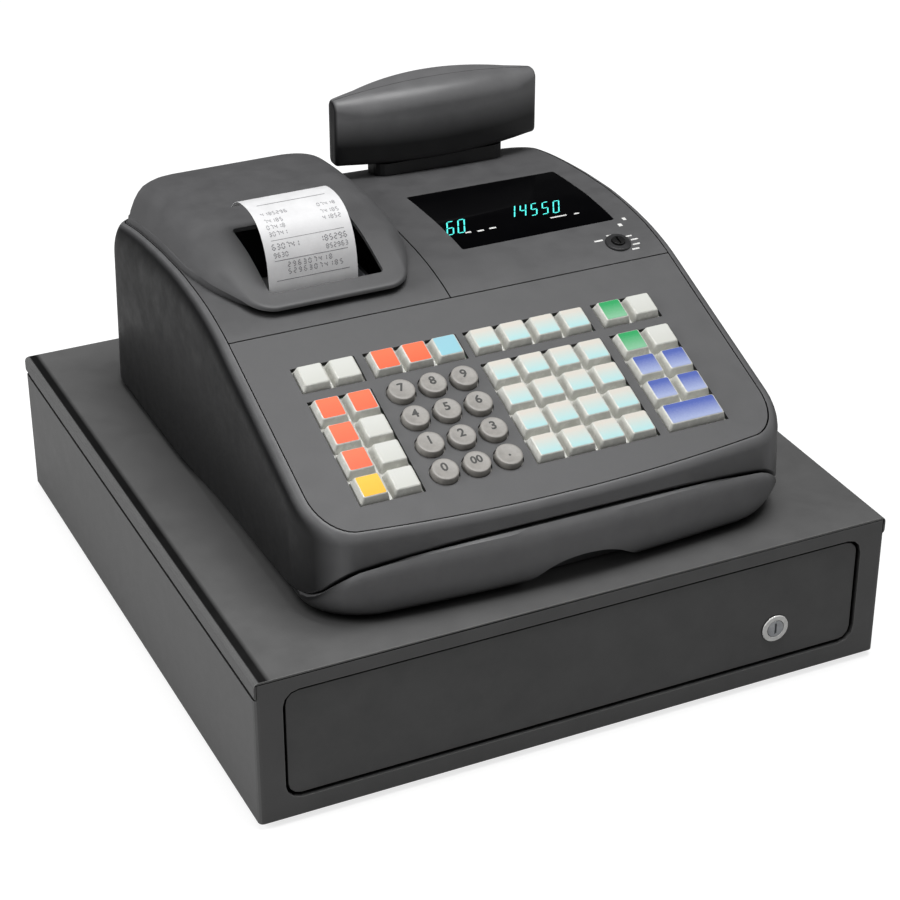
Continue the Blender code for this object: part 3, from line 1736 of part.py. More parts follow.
def build_inlet():
    place = Matrix.Translation(Vector((inlet_x, console_back + close_gap, drawer_top + inlet_rise)))
    place = place @ Matrix.Rotation(-quarter_turn, 4, "X")
    profile = [
        (inlet_bore_radius, inlet_flange),
        (inlet_flange_radius, inlet_flange),
        (inlet_flange_radius, 0),
        (inlet_body_radius, 0),
        (inlet_body_radius, -inlet_body_length),
        (inlet_bore_radius, -inlet_body_length),
    ]
    turned_part("cord_inlet", profile, small_steps, black_plastic("inlet_plastic"), place)


start_scene()
build_cabinet()
build_top_cover()
build_drawer_front()
build_tray()
build_rails()
build_till_insert()
build_note_clips()
build_lock()
build_catch()
build_spring()
build_feet()
build_base()
build_housing()
build_deck()
build_key_blocks()
build_number_keys()
build_printer_cover()
build_display_cover()
build_display_window()
build_display_module()
build_mode_lock()
build_key_board()
build_main_board()
build_transformer()
build_printer_frame()
build_platen()
build_print_head()
build_paper_roll()
build_receipt()
build_pod()
build_pod_window()
build_pod_display()
build_neck()
build_inlet()
bpy.context.view_layer.update()
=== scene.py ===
import json
import math

import bmesh
import bpy
from mathutils import Matrix, Vector


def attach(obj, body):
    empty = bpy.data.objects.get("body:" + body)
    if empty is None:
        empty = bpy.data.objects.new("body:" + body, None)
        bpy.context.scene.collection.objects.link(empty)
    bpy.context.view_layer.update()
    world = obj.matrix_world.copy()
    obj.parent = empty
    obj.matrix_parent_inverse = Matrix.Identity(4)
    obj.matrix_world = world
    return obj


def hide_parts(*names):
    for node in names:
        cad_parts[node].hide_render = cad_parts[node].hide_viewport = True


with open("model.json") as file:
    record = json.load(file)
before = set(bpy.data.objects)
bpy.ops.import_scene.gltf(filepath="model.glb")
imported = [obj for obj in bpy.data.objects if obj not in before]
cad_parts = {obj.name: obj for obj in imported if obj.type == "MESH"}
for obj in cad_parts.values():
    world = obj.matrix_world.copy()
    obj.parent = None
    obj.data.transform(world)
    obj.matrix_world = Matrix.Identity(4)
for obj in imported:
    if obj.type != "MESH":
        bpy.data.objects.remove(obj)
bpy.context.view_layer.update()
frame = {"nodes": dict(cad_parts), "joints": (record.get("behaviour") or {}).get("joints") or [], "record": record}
nodes = frame["nodes"]


# Feet
# Four turned buttons of black nitrile rubber, pressed into holes in the cabinet's bottom.
# Matt and faintly dusty, they hold the steel case clear of the counter.

def linear(code):
    """Turns an sRGB hex colour into the linear values that a shader takes."""
    values = [int(code[start:start + 2], 16) / 255 for start in (1, 3, 5)]
    return [v / 12.92 if v <= 0.04045 else ((v + 0.055) / 1.055) ** 2.4 for v in values] + [1]


def add_node(material, kind, settings=None, links=None):
    """Adds a node, sets its options, stops and inputs, and joins its inputs to other nodes."""
    node = material.node_tree.nodes.new(kind)
    for name, value in (settings or {}).items():
        if name == "stops":
            for stop, (position, colour) in zip(node.color_ramp.elements, value):
                stop.position = position
                stop.color = linear(colour)
        elif isinstance(name, str) and name not in node.inputs:
            setattr(node, name, value)
        else:
            node.inputs[name].default_value = value
    for name, source in (links or {}).items():
        output = source if isinstance(source, bpy.types.NodeSocket) else source.outputs[0]
        material.node_tree.links.new(output, node.inputs[name])
    return node


def feed(material, socket, output):
    """Joins an output to one of the shader's inputs."""
    material.node_tree.links.new(output, material.node_tree.nodes["Principled BSDF"].inputs[socket])


def add_patches(material, spacing, dark, light, smooth, rough):
    """Soft patches of slightly unlike colour and gloss, as handling and age leave them."""
    place = add_node(material, "ShaderNodeTexCoord")
    patches = add_node(material, "ShaderNodeTexNoise", {"Scale": 1 / spacing, "Detail": 5, "Roughness": 0.62},
                       {"Vector": place.outputs["Object"]})
    colours = add_node(material, "ShaderNodeValToRGB", {"stops": ((0.3, dark), (0.7, light))}, {"Fac": patches})
    gloss = add_node(material, "ShaderNodeMapRange",
                     {"From Min": 0.3, "From Max": 0.7, "To Min": smooth, "To Max": rough}, {"Value": patches})
    feed(material, "Base Color", colours.outputs[0])
    feed(material, "Roughness", gloss.outputs[0])


def add_grain(material, spacing, height, stretch=(1, 1, 1)):
    """Raised grain of one size all over, stretched where the tool that made it ran one way."""
    place = add_node(material, "ShaderNodeTexCoord")
    run = add_node(material, "ShaderNodeMapping", {"Scale": stretch}, {"Vector": place.outputs["Object"]})
    grain = add_node(material, "ShaderNodeTexNoise", {"Scale": 1 / spacing, "Detail": 3}, {"Vector": run})
    relief = add_node(material, "ShaderNodeBump", {"Distance": height, "Strength": 1}, {"Height": grain})
    feed(material, "Normal", relief.outputs[0])


def new_finish(name, colour, roughness, metallic=0, patches=None, grain=None, extra=None):
    """A surface of one colour, with its patches and its grain where it has them."""
    material = bpy.data.materials.new(name)
    material.use_nodes = True
    inputs = material.node_tree.nodes["Principled BSDF"].inputs
    values = {"Base Color": linear(colour), "Roughness": roughness, "Metallic": metallic, **(extra or {})}
    for socket, value in values.items():
        inputs[socket].default_value = value
    if patches:
        add_patches(material, *patches)
    if grain:
        add_grain(material, *grain)
    return material


def moulded_rubber(name):
    """Nitrile rubber from a hot press: nearly black, matt, with a grey bloom in patches."""
    return new_finish(name, "#1b1b1b", 0.8, 0, (0.006, "#151515", "#262625", 0.72, 0.9), (0.0006, 0.00004))


def dress(material, *names):
    """Gives CAD nodes their finish."""
    for name in names:
        nodes[name].material_slots[0].material = material


dress(moulded_rubber("foot nitrile rubber"), "foot_front_left", "foot_front_right", "foot_back_left",
      "foot_back_right")


# Drawer cabinet and its top cover
# A case folded from mild steel sheet, with a separate cover whose flanges lap over the sides.
# Both are powder coated charcoal; along the folds the colour is lighter, partly coat rubbed thin and partly painted
# sheen.

def lay_over(material, colour, share):
    """Lays a colour over the surface's own, by a share that differs from place to place."""
    own = material.node_tree.nodes["Principled BSDF"].inputs["Base Color"].links[0].from_socket
    mixed = add_node(material, "ShaderNodeMix", {"data_type": "RGBA", 7: linear(colour)}, {0: share, 6: own})
    feed(material, "Base Color", mixed.outputs[2])


def powder_coat(name, dark, light):
    """Baked polyester powder: charcoal, satin, with the fine orange peel of melted powder."""
    # Powder beads melt into bumps about 0.9 mm apart, drawn at 1.1 mm so that they show
    material = new_finish(name, light, 0.42, 0, (0.022, dark, light, 0.38, 0.5), (0.0011, 0.00003),
                          {"Specular IOR Level": 0.35})
    edges = add_node(material, "ShaderNodeBevel", {"Radius": 0.0012})
    flat = add_node(material, "ShaderNodeNewGeometry")
    turn = add_node(material, "ShaderNodeVectorMath", {"operation": "DOT_PRODUCT"},
                    {0: edges, 1: flat.outputs["Normal"]})
    # Lighter near sharp edges: the coat rubbed thin there, and a painted sheen.
    edge_wear_and_sheen = add_node(material, "ShaderNodeMapRange",
                      {"From Min": 0.99, "From Max": 0.8, "To Min": 0, "To Max": 0.35},
                      {"Value": turn.outputs["Value"]})
    lay_over(material, "#8a8a88", edge_wear_and_sheen)
    return material


def paint_recess_shade(material, reach):
    """Painted shade: a darker colour where two forms come close together, standing for the shadow in recesses."""
    openness = add_node(material, "ShaderNodeAmbientOcclusion", {"Distance": reach, "samples": 8})
    share = add_node(material, "ShaderNodeMapRange", {"From Min": 0.8, "From Max": 0.3},
                     {"Value": openness.outputs["AO"]})
    lay_over(material, "#060606", share)


def paint_gap_shadow(material, outer, inner):
    """Painted shadow: a black band on upward faces along the left edge, where the cover meets its flange."""
    place = add_node(material, "ShaderNodeTexCoord")
    across = add_node(material, "ShaderNodeSeparateXYZ", None, {"Vector": place.outputs["Object"]})
    facing = add_node(material, "ShaderNodeSeparateXYZ", None, {"Vector": place.outputs["Normal"]})
    share = add_node(material, "ShaderNodeMath", {"operation": "GREATER_THAN", 1: 0.9},
                     {0: facing.outputs["Z"]})
    for start, end in ((outer, outer + 0.0008), (inner, inner - 0.003)):
        edge = add_node(material, "ShaderNodeMapRange", {"From Min": start, "From Max": end}, {"Value": across})
        share = add_node(material, "ShaderNodeMath", {"operation": "MULTIPLY"}, {0: share, 1: edge})
    lay_over(material, "#080808", share)


def break_edges(piece, width, angle):
    """Rounds the edges that are sharper than an angle by a small radius."""
    edge = piece.modifiers.new("broken edges", "BEVEL")
    edge.width = width
    edge.segments = 2
    edge.limit_method = "ANGLE"
    edge.angle_limit = math.radians(angle)
    edge.harden_normals = True


def round_off(name, width):
    """Welds a CAD node's facets and breaks its sharp edges, as folding and deburring do."""
    weld = nodes[name].modifiers.new("weld", "WELD")
    weld.merge_threshold = 0.00001
    break_edges(nodes[name], width, 32)


# Painted shadow band along the cover's left edge, and painted shade in recesses.
case_coat = powder_coat("cabinet powder coat", "#555555", "#5a5a5a")
paint_gap_shadow(case_coat, -0.2022, -0.1945)
paint_recess_shade(case_coat, 0.006)
dress(case_coat, "drawer_cabinet", "drawer_top_cover")
round_off("drawer_cabinet", 0.0005)
round_off("drawer_top_cover", 0.0005)


# Drawer front
# A zinc alloy plate with rounded corners, coated like the case and screwed to the tray.
# It stands 1.5 mm back in its frame, so a dark groove runs round it.

# Painted shade in the groove round the drawer front.
front_coat = powder_coat("drawer front powder coat", "#4e4e4e", "#565656")
paint_recess_shade(front_coat, 0.004)
dress(front_coat, "drawer_front")
round_off("drawer_front", 0.0006)


# Drawer tray, rails and catch
# Tray and rails are bent from zinc plated sheet; the tray is painted. A solenoid lifts the
# brass bolt into the catch plate at the back, and a wire spring pushes the open drawer out.

def zinc_plate(name, stretch):
    """Bright zinc on rolled steel: cool grey with fine draw lines and dull passivated patches."""
    return new_finish(name, "#b4b7ba", 0.34, 1, (0.012, "#9a9da1", "#c2c4c6", 0.26, 0.46),
                      (0.0009, 0.00002, stretch))


def turned_brass(name):
    """Free-cutting brass: warm yellow, with rings left by the lathe and a little tarnish."""
    return new_finish(name, "#c9a35a", 0.28, 1, (0.004, "#a88343", "#d6b26a", 0.2, 0.42),
                      (0.0005, 0.00001, (0.1, 0.1, 4)))


def spring_wire(name):
    """Hard drawn steel wire, oiled: dark grey metal with lines along the drawing."""
    return new_finish(name, "#8d9094", 0.3, 1, (0.003, "#777a7e", "#a2a5a8", 0.24, 0.4), (0.0004, 0.00001))


dress(powder_coat("tray powder coat", "#3a3a3a", "#434343"), "drawer_tray")
dress(zinc_plate("rail zinc plate", (1, 0.05, 1)), "drawer_rail_left", "drawer_rail_right")
dress(zinc_plate("solenoid zinc plate", (1, 1, 0.1)), "latch_solenoid")
dress(turned_brass("bolt brass"), "latch_bolt")
dress(spring_wire("spring wire"), "eject_spring")


# Cash insert and note clips
# One tray vacuum formed in black ABS, with eight coin cups before four note bays. Each note
# clip is a bent strip of spring steel on a barrel, lying on the notes by its own weight.

def formed_abs(name, dark, light, rough):
    """Black ABS sheet or moulding with a fine spark-eroded grain and a soft, greyish gloss."""
    # The eroded grain is about 0.3 mm; it is drawn at 0.7 mm so that it shows
    return new_finish(name, light, rough, 0, (0.015, dark, light, rough - 0.06, rough + 0.08),
                      (0.0007, 0.00003), {"Specular IOR Level": 0.4})


dress(formed_abs("insert ABS", "#1e1e1f", "#292929", 0.5), "till_insert")
round_off("till_insert", 0.0008)
dress(zinc_plate("clip spring steel", (0.2, 1, 1)), "note_clip_1", "note_clip_2", "note_clip_3", "note_clip_4")


# Drawer lock
# A die-cast barrel with a polished chrome face, and a steel key plug with its keyhole.

def chrome_plate(name):
    """Polished chrome over nickel: mirror bright, with hairline rubs from keys."""
    return new_finish(name, "#e6e6e4", 0.12, 1, (0.003, "#d8d8d6", "#f0f0ee", 0.08, 0.2), (0.0015, 0.00001))


dress(chrome_plate("lock chrome"), "drawer_lock_barrel")
dress(zinc_plate("plug steel", (1, 1, 1)), "drawer_lock_plug")
round_off("drawer_lock_barrel", 0.0002)
round_off("drawer_lock_plug", 0.00015)


# Console shells
# Two halves moulded in charcoal ABS meet along a seam that climbs the front corners. The
# lower half bulges into a lip with an arched finger recess; both are screwed from below.

drawer_top = 0.1002
deck_front_line, deck_back_line = -0.190, -0.040
deck_front_rise, deck_back_rise = 0.0568, 0.1143
deck_slope = (deck_back_rise - deck_front_rise) / (deck_back_line - deck_front_line)
console_half, console_front, console_back = 0.158, -0.1935, 0.172
wall = 0.0025
crown_rise, side_fall, fall_line = 0.0125, 0.005, 0.040
crown_line = [(-0.040, 0.0), (-0.025, 0.376), (-0.005, 0.712), (0.020, 0.92), (0.045, 1.0),
              (0.070, 0.99), (0.095, 0.904), (0.120, 0.74), (0.145, 0.45), (0.172, 0.0)]
lip_rise, lip_least = 0.0438, 0.0036
lip_points = [(-0.1935, 1.0), (-0.190, 0.95), (-0.187, 0.845), (-0.184, 0.74), (-0.180, 0.62),
              (-0.175, 0.48), (-0.165, 0.36), (-0.128, 0.30), (-0.046, 0.24), (0.016, 0.115), (0.090, 0.0)]
corner_width, corner_depth, back_corner, front_bow = 0.032, 0.038, 0.028, 0.0065
shoulder_width, shoulder_front = 0.010, 0.0035
shoulder_drops = [(console_front, 0.004), (-0.160, 0.012), (deck_back_line, 0.012), (console_back, 0.021)]
lean = 0.022


def through(points, place, first_slope=None):
    """The height at a place on a smooth line drawn through points."""
    if place <= points[0][0]:
        return points[0][1]
    if place >= points[-1][0]:
        return points[-1][1]
    runs = [b[0] - a[0] for a, b in zip(points, points[1:])]
    slopes = [(b[1] - a[1]) / run for a, b, run in zip(points, points[1:], runs)]
    at = next(number for number, point in enumerate(points[1:]) if place <= point[0])

    def slope_at(number):
        if number == 0:
            return slopes[0] if first_slope is None else first_slope
        if number == len(points) - 1:
            return slopes[-1]
        before, after = slopes[number - 1], slopes[number]
        return 0 if before * after <= 0 else 2 * before * after / (before + after)

    share = (place - points[at][0]) / runs[at]
    low, high = points[at][1], points[at + 1][1]
    rise_low, rise_high = slope_at(at) * runs[at], slope_at(at + 1) * runs[at]
    square, cube = share * share, share ** 3
    return (low * (2 * cube - 3 * square + 1) + rise_low * (cube - 2 * square + share)
            + high * (3 * square - 2 * cube) + rise_high * (cube - square))


def top_line(x, y, depth=0):
    """The height of the console's top surface, or of a place below it."""
    if y <= deck_back_line:
        return drawer_top + deck_front_rise + deck_slope * (y - deck_front_line) - depth
    rise = crown_rise * through(crown_line, y, deck_slope / crown_rise)
    fall = side_fall * max(0, (y - fall_line) / (console_back - fall_line))
    return drawer_top + deck_back_rise + rise - fall * abs(x) / console_half - depth


def lip_line(x, y, lift=0):
    """The height of the seam between the two halves, or of a place above it."""
    return drawer_top + max(lip_least, lip_rise * through(lip_points, y)) + lift


def outline(left, right, front, back, front_corner, back_corner, bow, height, sides=44, corner=10):
    """A rounded outline seen from above, down the right side, over the front and up the left.
    A corner is its reach on the left, its reach on the right and its depth."""
    halves = [[], []]
    middle = (left + right) / 2
    for step in range(corner + 1):
        turn = math.pi / 2 * step / corner
        y = back - back_corner[2] * (1 - math.cos(turn))
        reach = 1 - math.sin(turn)
        halves[0].append((right - back_corner[1] * reach, y))
        halves[1].append((left + back_corner[0] * reach, y))
    start = back - back_corner[2]
    end = front + bow + front_corner[2]
    for step in range(1, sides):
        y = start + (end - start) * step / sides
        halves[0].append((right, y))
        halves[1].append((left, y))
    for step in range(corner + 1):
        turn = math.pi / 2 * step / corner
        y = front + bow + front_corner[2] * (1 - math.sin(turn))
        reach = 1 - math.cos(turn)
        halves[0].append((right - front_corner[1] * reach, y))
        halves[1].append((left + front_corner[0] * reach, y))
    for step in range(9, 0, -1) if bow else ():
        share = step / 10
        y = front + bow * share * share
        halves[0].append((middle + (right - front_corner[1] - middle) * share, y))
        halves[1].append((middle + (left + front_corner[0] - middle) * share, y))
    return [Vector((x, y, height(x, y))) for x, y in halves[0] + halves[1][::-1]]


def band(shape, low, high):
    """Joins two rows of corners by faces all the way round."""
    count = len(low)
    return [shape.faces.new((low[step], low[(step + 1) % count], high[(step + 1) % count], high[step]))
            for step in range(count)]


def facing_out(shape):
    """Turns all faces of a closed shape outwards."""
    bmesh.ops.recalc_face_normals(shape, faces=shape.faces[:])
    return shape


def moved(shape, place):
    """Sets a shape in its place."""
    bmesh.ops.transform(shape, matrix=place, verts=shape.verts[:])
    return shape


def loft(rings, capped):
    """A closed skin over a row of outlines, capped at both ends or joined round."""
    shape = bmesh.new()
    rows = [[shape.verts.new(point) for point in ring] for ring in rings]
    for low, high in list(zip(rows, rows[1:])) + ([] if capped else [(rows[-1], rows[0])]):
        band(shape, low, high)
    for row in (rows[0], rows[-1]) if capped else ():
        for step in range(len(row) // 2 - 1):
            shape.faces.new((row[step], row[step + 1], row[-2 - step], row[-1 - step]))
    return facing_out(shape)


def add_piece(name, shape, material=None):
    """Makes a new piece of the visible model from a shape."""
    mesh = bpy.data.meshes.new(name)
    shape.to_mesh(mesh)
    shape.free()
    piece = bpy.data.objects.new(name, mesh)
    bpy.context.scene.collection.objects.link(piece)
    if material:
        mesh.materials.append(material)
    return piece


def cut_and_join(piece, steps):
    """Cuts shapes out of a piece or joins them to it, and keeps the result as its mesh."""
    for operation, shape in steps:
        tool = add_piece("tool", shape)
        change = piece.modifiers.new("change", "BOOLEAN")
        change.operation = operation
        change.object = tool
        change.solver = "EXACT"
        bpy.context.view_layer.update()
        result = bpy.data.meshes.new_from_object(piece.evaluated_get(bpy.context.evaluated_depsgraph_get()))
        piece.modifiers.remove(change)
        result.name = piece.name
        piece.data = result
        bpy.data.objects.remove(tool)


def round_skin(piece, width=0):
    """Shades a piece smoothly and rounds its edges by a small radius."""
    for face in piece.data.polygons:
        face.use_smooth = True
    piece.data.set_sharp_from_angle(angle=math.radians(30))
    if width:
        break_edges(piece, width, 30)


def block(low, high):
    """A plain box between two corners."""
    shape = bmesh.new()
    low, high = Vector(low), Vector(high)
    place = Matrix.Translation((low + high) / 2) @ Matrix.Diagonal((*(high - low), 1))
    bmesh.ops.create_cube(shape, size=1, matrix=place)
    return shape


def rod(centre, direction, radius, length, steps=32):
    """A round bar."""
    shape = bmesh.new()
    turn = Vector((0, 0, 1)).rotation_difference(Vector(direction)).to_matrix().to_4x4()
    bmesh.ops.create_cone(shape, cap_ends=True, segments=steps, radius1=radius, radius2=radius, depth=length,
                          matrix=Matrix.Translation(Vector(centre)) @ turn)
    return shape


def together(shapes):
    """Several closed shapes kept side by side."""
    whole = bmesh.new()
    for shape in shapes:
        mesh = bpy.data.meshes.new("piece")
        shape.to_mesh(mesh)
        shape.free()
        whole.from_mesh(mesh)
        bpy.data.meshes.remove(mesh)
    return whole


def wall_ring(side_inset, front_inset, corner_inset, height):
    """One outline of the console's wall, whose corners are smaller by an inset in width and depth."""
    half = console_half - side_inset
    width, depth = corner_width - corner_inset[0], corner_depth - corner_inset[1]
    return outline(-half, half, console_front + front_inset, console_back - side_inset,
                   (width, width, depth), (back_corner - side_inset,) * 3, front_bow, height)


def shoulder_ring(turn, thickness=0):
    """One outline along the rounded edge where the walls turn into the top."""
    inset = shoulder_width - (shoulder_width - thickness) * math.cos(turn)
    front_inset = shoulder_front - (shoulder_front - thickness) * math.cos(turn)

    def height(x, y):
        drop = max(0, through(shoulder_drops, y) - thickness)
        return top_line(x, y, thickness) - drop * (1 - math.sin(turn))

    points = wall_ring(inset, front_inset, (inset, inset * 0.83), height)
    for point in points:
        # The walls lean in towards the top, so that the moulding leaves its mould
        point.x -= math.copysign(lean * (point.z - drawer_top) * math.cos(turn), point.x)
    return points


def level_with(points, others):
    """Brings an outline's points to the height of another's."""
    for near, far in zip(points, others):
        near.z = far.z
    return points


def paint_side_shade(material, colour):
    """Painted shade: faces turned left or right get a darker colour than the top and front."""
    place = add_node(material, "ShaderNodeTexCoord")
    facing = add_node(material, "ShaderNodeSeparateXYZ", None, {"Vector": place.outputs["Normal"]})
    sideways = add_node(material, "ShaderNodeMath", {"operation": "ABSOLUTE"}, {0: facing})
    share = add_node(material, "ShaderNodeMapRange", {"From Min": 0.5, "From Max": 0.85}, {"Value": sideways})
    lay_over(material, colour, share)


# Painted shade on the side walls and in recesses.
shell_abs = formed_abs("console shell ABS", "#565657", "#5d5d5e", 0.42)
paint_side_shade(shell_abs, "#0e0e0f")
paint_recess_shade(shell_abs, 0.012)
seam, seam_inset, seam_front_inset, seam_depth = 0.0004, 0.0005, 0.0025, 0.003
inner_front_inset = seam_front_inset + seam_depth
same_corner, inner_corner = (0, 0), (seam_depth, seam_depth)
seam_outer = wall_ring(seam_inset, seam_front_inset, same_corner, lambda x, y: lip_line(x, y, seam))
seam_inner = wall_ring(seam_depth, inner_front_inset, inner_corner, lip_line)
shell_rings = [seam_outer, wall_ring(0, 0, same_corner, lambda x, y: lip_line(x, y, seam * 4))]
shell_rings += [shoulder_ring(math.pi / 2 * step / 9) for step in range(10)]
shell_rings += [shoulder_ring(math.pi / 2 * step / 4, wall) for step in range(4, -1, -1)]
shell_rings.append(level_with(seam_inner, seam_outer))
upper_shell = add_piece("console_upper_shell", loft(shell_rings, False), shell_abs)
inlet_hole = rod((-0.060, console_back, 0.1242), (0, 1, 0), 0.0068, 0.01)
cut_and_join(upper_shell, [("DIFFERENCE", inlet_hole)])
round_skin(upper_shell)
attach(upper_shell, "cabinet")
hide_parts("console_housing")

# Painted shade on the side walls and in the recesses under the lip.
base_abs = formed_abs("console base ABS", "#616162", "#686869", 0.42)
paint_side_shade(base_abs, "#121213")
paint_recess_shade(base_abs, 0.026)
console_floor, foot_inset, foot_corner_width, foot_corner_depth = 0.1005, 0.012, 0.012, 0.020
side_recess, recess_start, recess_run = 0.0035, -0.163, 0.028
# Share of the height, share of the foot's side and corner sizes, and how far the front stands back
lip_stages = [(0.0, 0.75, 1.0, 0.0095), (0.1, 0.72, 0.95, 0.0086), (0.12, 0.55, 0.8, 0.0),
              (0.24, 0.42, 0.62, -0.003), (0.45, 0.26, 0.4, -0.004), (0.72, 0.12, 0.18, -0.0039),
              (0.92, 0.05, 0.04, -0.0018), (1.0, 0.042, 0.0, 0.0025)]
lip_shares = (0, 0.05, 0.1, 0.11, 0.12, 0.15, 0.19, 0.24, 0.31, 0.38, 0.45, 0.54, 0.63, 0.72, 0.79, 0.86, 0.92,
              0.96, 1)


def base_ring(side, front, corner, recess, height):
    """One outline of the lower half, which stands in below its lip and along its sides."""
    points = wall_ring(side, front, (-foot_corner_width * corner, -foot_corner_depth * corner), height)
    for point in points:
        share = max(0, min(1, (point.y - recess_start) / recess_run))
        point.x -= math.copysign(side_recess * share * recess, point.x)
    return points


def base_height(share, top=math.inf):
    """Heights a share of the way up the lower half, and no higher than its floor plate."""
    def height(x, y):
        return min(top, console_floor + share * (lip_line(x, y) - console_floor))
    return height


base_rings = []
for share in lip_shares:
    side, corner, front = (through([(stage[0], stage[size]) for stage in lip_stages], share)
                           for size in (1, 2, 3))
    base_rings.append(base_ring(side * foot_inset, front, corner, min(1, (1 - share) / 0.08), base_height(share)))
base_rings.append(level_with(wall_ring(seam_depth, inner_front_inset, inner_corner, lip_line), base_rings[-1]))
for inset, lift in ((0.0036, 0.003), (0.0062, 0.0003), (foot_inset, 0)):
    base_rings.append(base_ring(inset, 0.0285, -0.25, 1, base_height(0.86, 0.1035 + lift)))
lower_shell = add_piece("console_lower_shell", loft(base_rings, True), base_abs)


def extruded(points, low, high, place=Matrix()):
    """A flat outline given thickness from low to high, then set in place."""
    shape = bmesh.new()
    rows = [[shape.verts.new((x, y, z)) for x, y in points] for z in (low, high)]
    band(shape, *rows)
    shape.faces.new(rows[0][::-1])
    shape.faces.new(rows[1])
    return moved(facing_out(shape), place)


arch_middle, arch_half, arch_rise, below_floor = 0.008, 0.05, 0.0172, 0.002
arch_points = [(-1, 0), (-0.8, 0.16), (-0.6, 0.52), (-0.42, 0.8), (-0.2, 0.96), (0, 1),
               (0.2, 0.96), (0.42, 0.8), (0.6, 0.52), (0.8, 0.16), (1, 0)]
arch = [(arch_middle + run * arch_half, console_floor + arch_rise * through(arch_points, run))
        for run in [step / 20 for step in range(-20, 21)]]
arch += [(arch_middle + side * arch_half, console_floor - below_floor) for side in (1, -1)]
front_view = Matrix(((1, 0, 0, 0), (0, 0, -1, 0), (0, 1, 0, 0), (0, 0, 0, 1)))
cut_and_join(lower_shell, [("DIFFERENCE", extruded(arch, 0.179, 0.200, front_view))])
round_skin(lower_shell, 0.0004)
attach(lower_shell, "cabinet")
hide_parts("console_base")


# Keyboard deck
# A flat charcoal ABS plate let into the shell's mouth, with openings for the key blocks and
# a round hole for each number key. The keyboard board hangs from posts on its back.

pitch, number_pitch, first_row, number_first_row, top_row_gap = 0.0202, 0.0211, 0.0340, 0.0331, 0.0067
columns = {"left": -0.1102, "number": -0.0644, "department": 0.0007, "payment": 0.0875}
deck_angle = math.atan(deck_slope)
deck_place = (Matrix.Translation((0, deck_front_line, drawer_top + deck_front_rise))
              @ Matrix.Rotation(deck_angle, 4, "X"))
plate = 0.0025
deck_skin = plate * math.cos(deck_angle)
cover_half, deck_front_edge, deck_back_edge = 0.1473, -0.1893, -0.0404


def key_row(number):
    """How far a row of keys lies up the deck's slope."""
    return first_row + pitch * number + (top_row_gap if number == 4 else 0)


def number_row(number):
    """The same for a row of number keys, which stand a little further apart."""
    return number_first_row + number_pitch * number


def key_columns(block_name, count):
    """The middles of a block's columns."""
    return [columns[block_name] + pitch * step for step in range(count)]


def key_opening(across, rows, reach=0.0102):
    """The opening round a block of keys."""
    return block((across[0] - reach, key_row(rows[0]) - reach, -0.006),
                 (across[-1] + reach, key_row(rows[-1]) + reach, 0.004))


def plate_rings(left, right, front, back, front_corner, back_corner, bow, sides, corner):
    """The two outlines of a plate that lies in the console's top."""
    return [outline(left, right, front, back, front_corner, back_corner, bow,
                    lambda x, y, d=depth: top_line(x, y, d), sides, corner) for depth in (plate, 0)]


# Painted shade in recesses, as under the hood's overhanging front.
deck_abs = formed_abs("deck ABS", "#4a4a4b", "#505051", 0.5)
paint_recess_shade(deck_abs, 0.007)
deck_rings = plate_rings(-cover_half, cover_half, deck_front_edge, deck_back_edge,
                         (0.022, 0.022, 0.0297), (0.0005,) * 3, front_bow, 12, 10)
deck = add_piece("keyboard_deck_plate", loft(deck_rings, True), deck_abs)
counts = {"left": 2, "number": 3, "department": 4, "payment": 2}
openings = [key_opening(key_columns(name, count), (4, 4)) for name, count in counts.items()]
openings += [key_opening(key_columns(name, count), (0, 3))
             for name, count in counts.items() if name != "number"]
openings += [rod((x, number_row(row), 0), (0, 0, 1), 0.0091, 0.012, 40)
             for x in key_columns("number", 3) for row in range(4)]
posts = [rod((x, y, -0.0045), (0, 0, 1), 0.003, 0.0066, 16) for x in (-0.132, 0.132) for y in (0.0235, 0.1305)]
cut_and_join(deck, [("UNION", moved(together(posts), deck_place)),
                    ("DIFFERENCE", moved(together(openings), deck_place))])
round_skin(deck, 0.0003)
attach(deck, "cabinet")
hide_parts("keyboard_deck")


# Keys
# Square keys are clear grey caps snapped over printed slips of card; the twelve number keys
# are round, moulded in grey ABS and printed. Each travels 3 mm over a rubber dome.

def clear_cap(name):
    """Smoke-clear polycarbonate: pale grey, smooth, glossy along its rounded edges."""
    return new_finish(name, "#c4c4be", 0.24, 0, (0.006, "#babab4", "#cdcdc7", 0.18, 0.32), (0.003, 0.00002),
                      {"Subsurface Weight": 0.25, "Subsurface Radius": (0.002, 0.002, 0.002),
                       "Coat Weight": 0.3, "Coat Roughness": 0.1})


def printed_slip(name, top, bottom):
    """A printed card slip behind a clear cap: ink that fades down the slip, on fibrous card."""
    material = new_finish(name, top, 0.3, extra={"Specular IOR Level": 0.25})
    place = add_node(material, "ShaderNodeTexCoord")
    parts = add_node(material, "ShaderNodeSeparateXYZ", None, {"Vector": place.outputs["UV"]})
    fibres = add_node(material, "ShaderNodeTexNoise", {"Scale": 1 / 0.0012, "Detail": 4},
                      {"Vector": place.outputs["Object"]})
    wobble = add_node(material, "ShaderNodeMath", {"operation": "MULTIPLY_ADD", 1: 0.22},
                      {0: fibres, 2: parts.outputs["Y"]})
    ink = add_node(material, "ShaderNodeValToRGB", {"stops": ((0.2, bottom), (0.95, top))}, {"Fac": wobble})
    feed(material, "Base Color", ink.outputs[0])
    return material


def dark_ink(name):
    """Pad printed black ink: flat, slightly raised, a little uneven."""
    return new_finish(name, "#2b2b2a", 0.5, 0, (0.0012, "#232322", "#3a3a38", 0.4, 0.6))


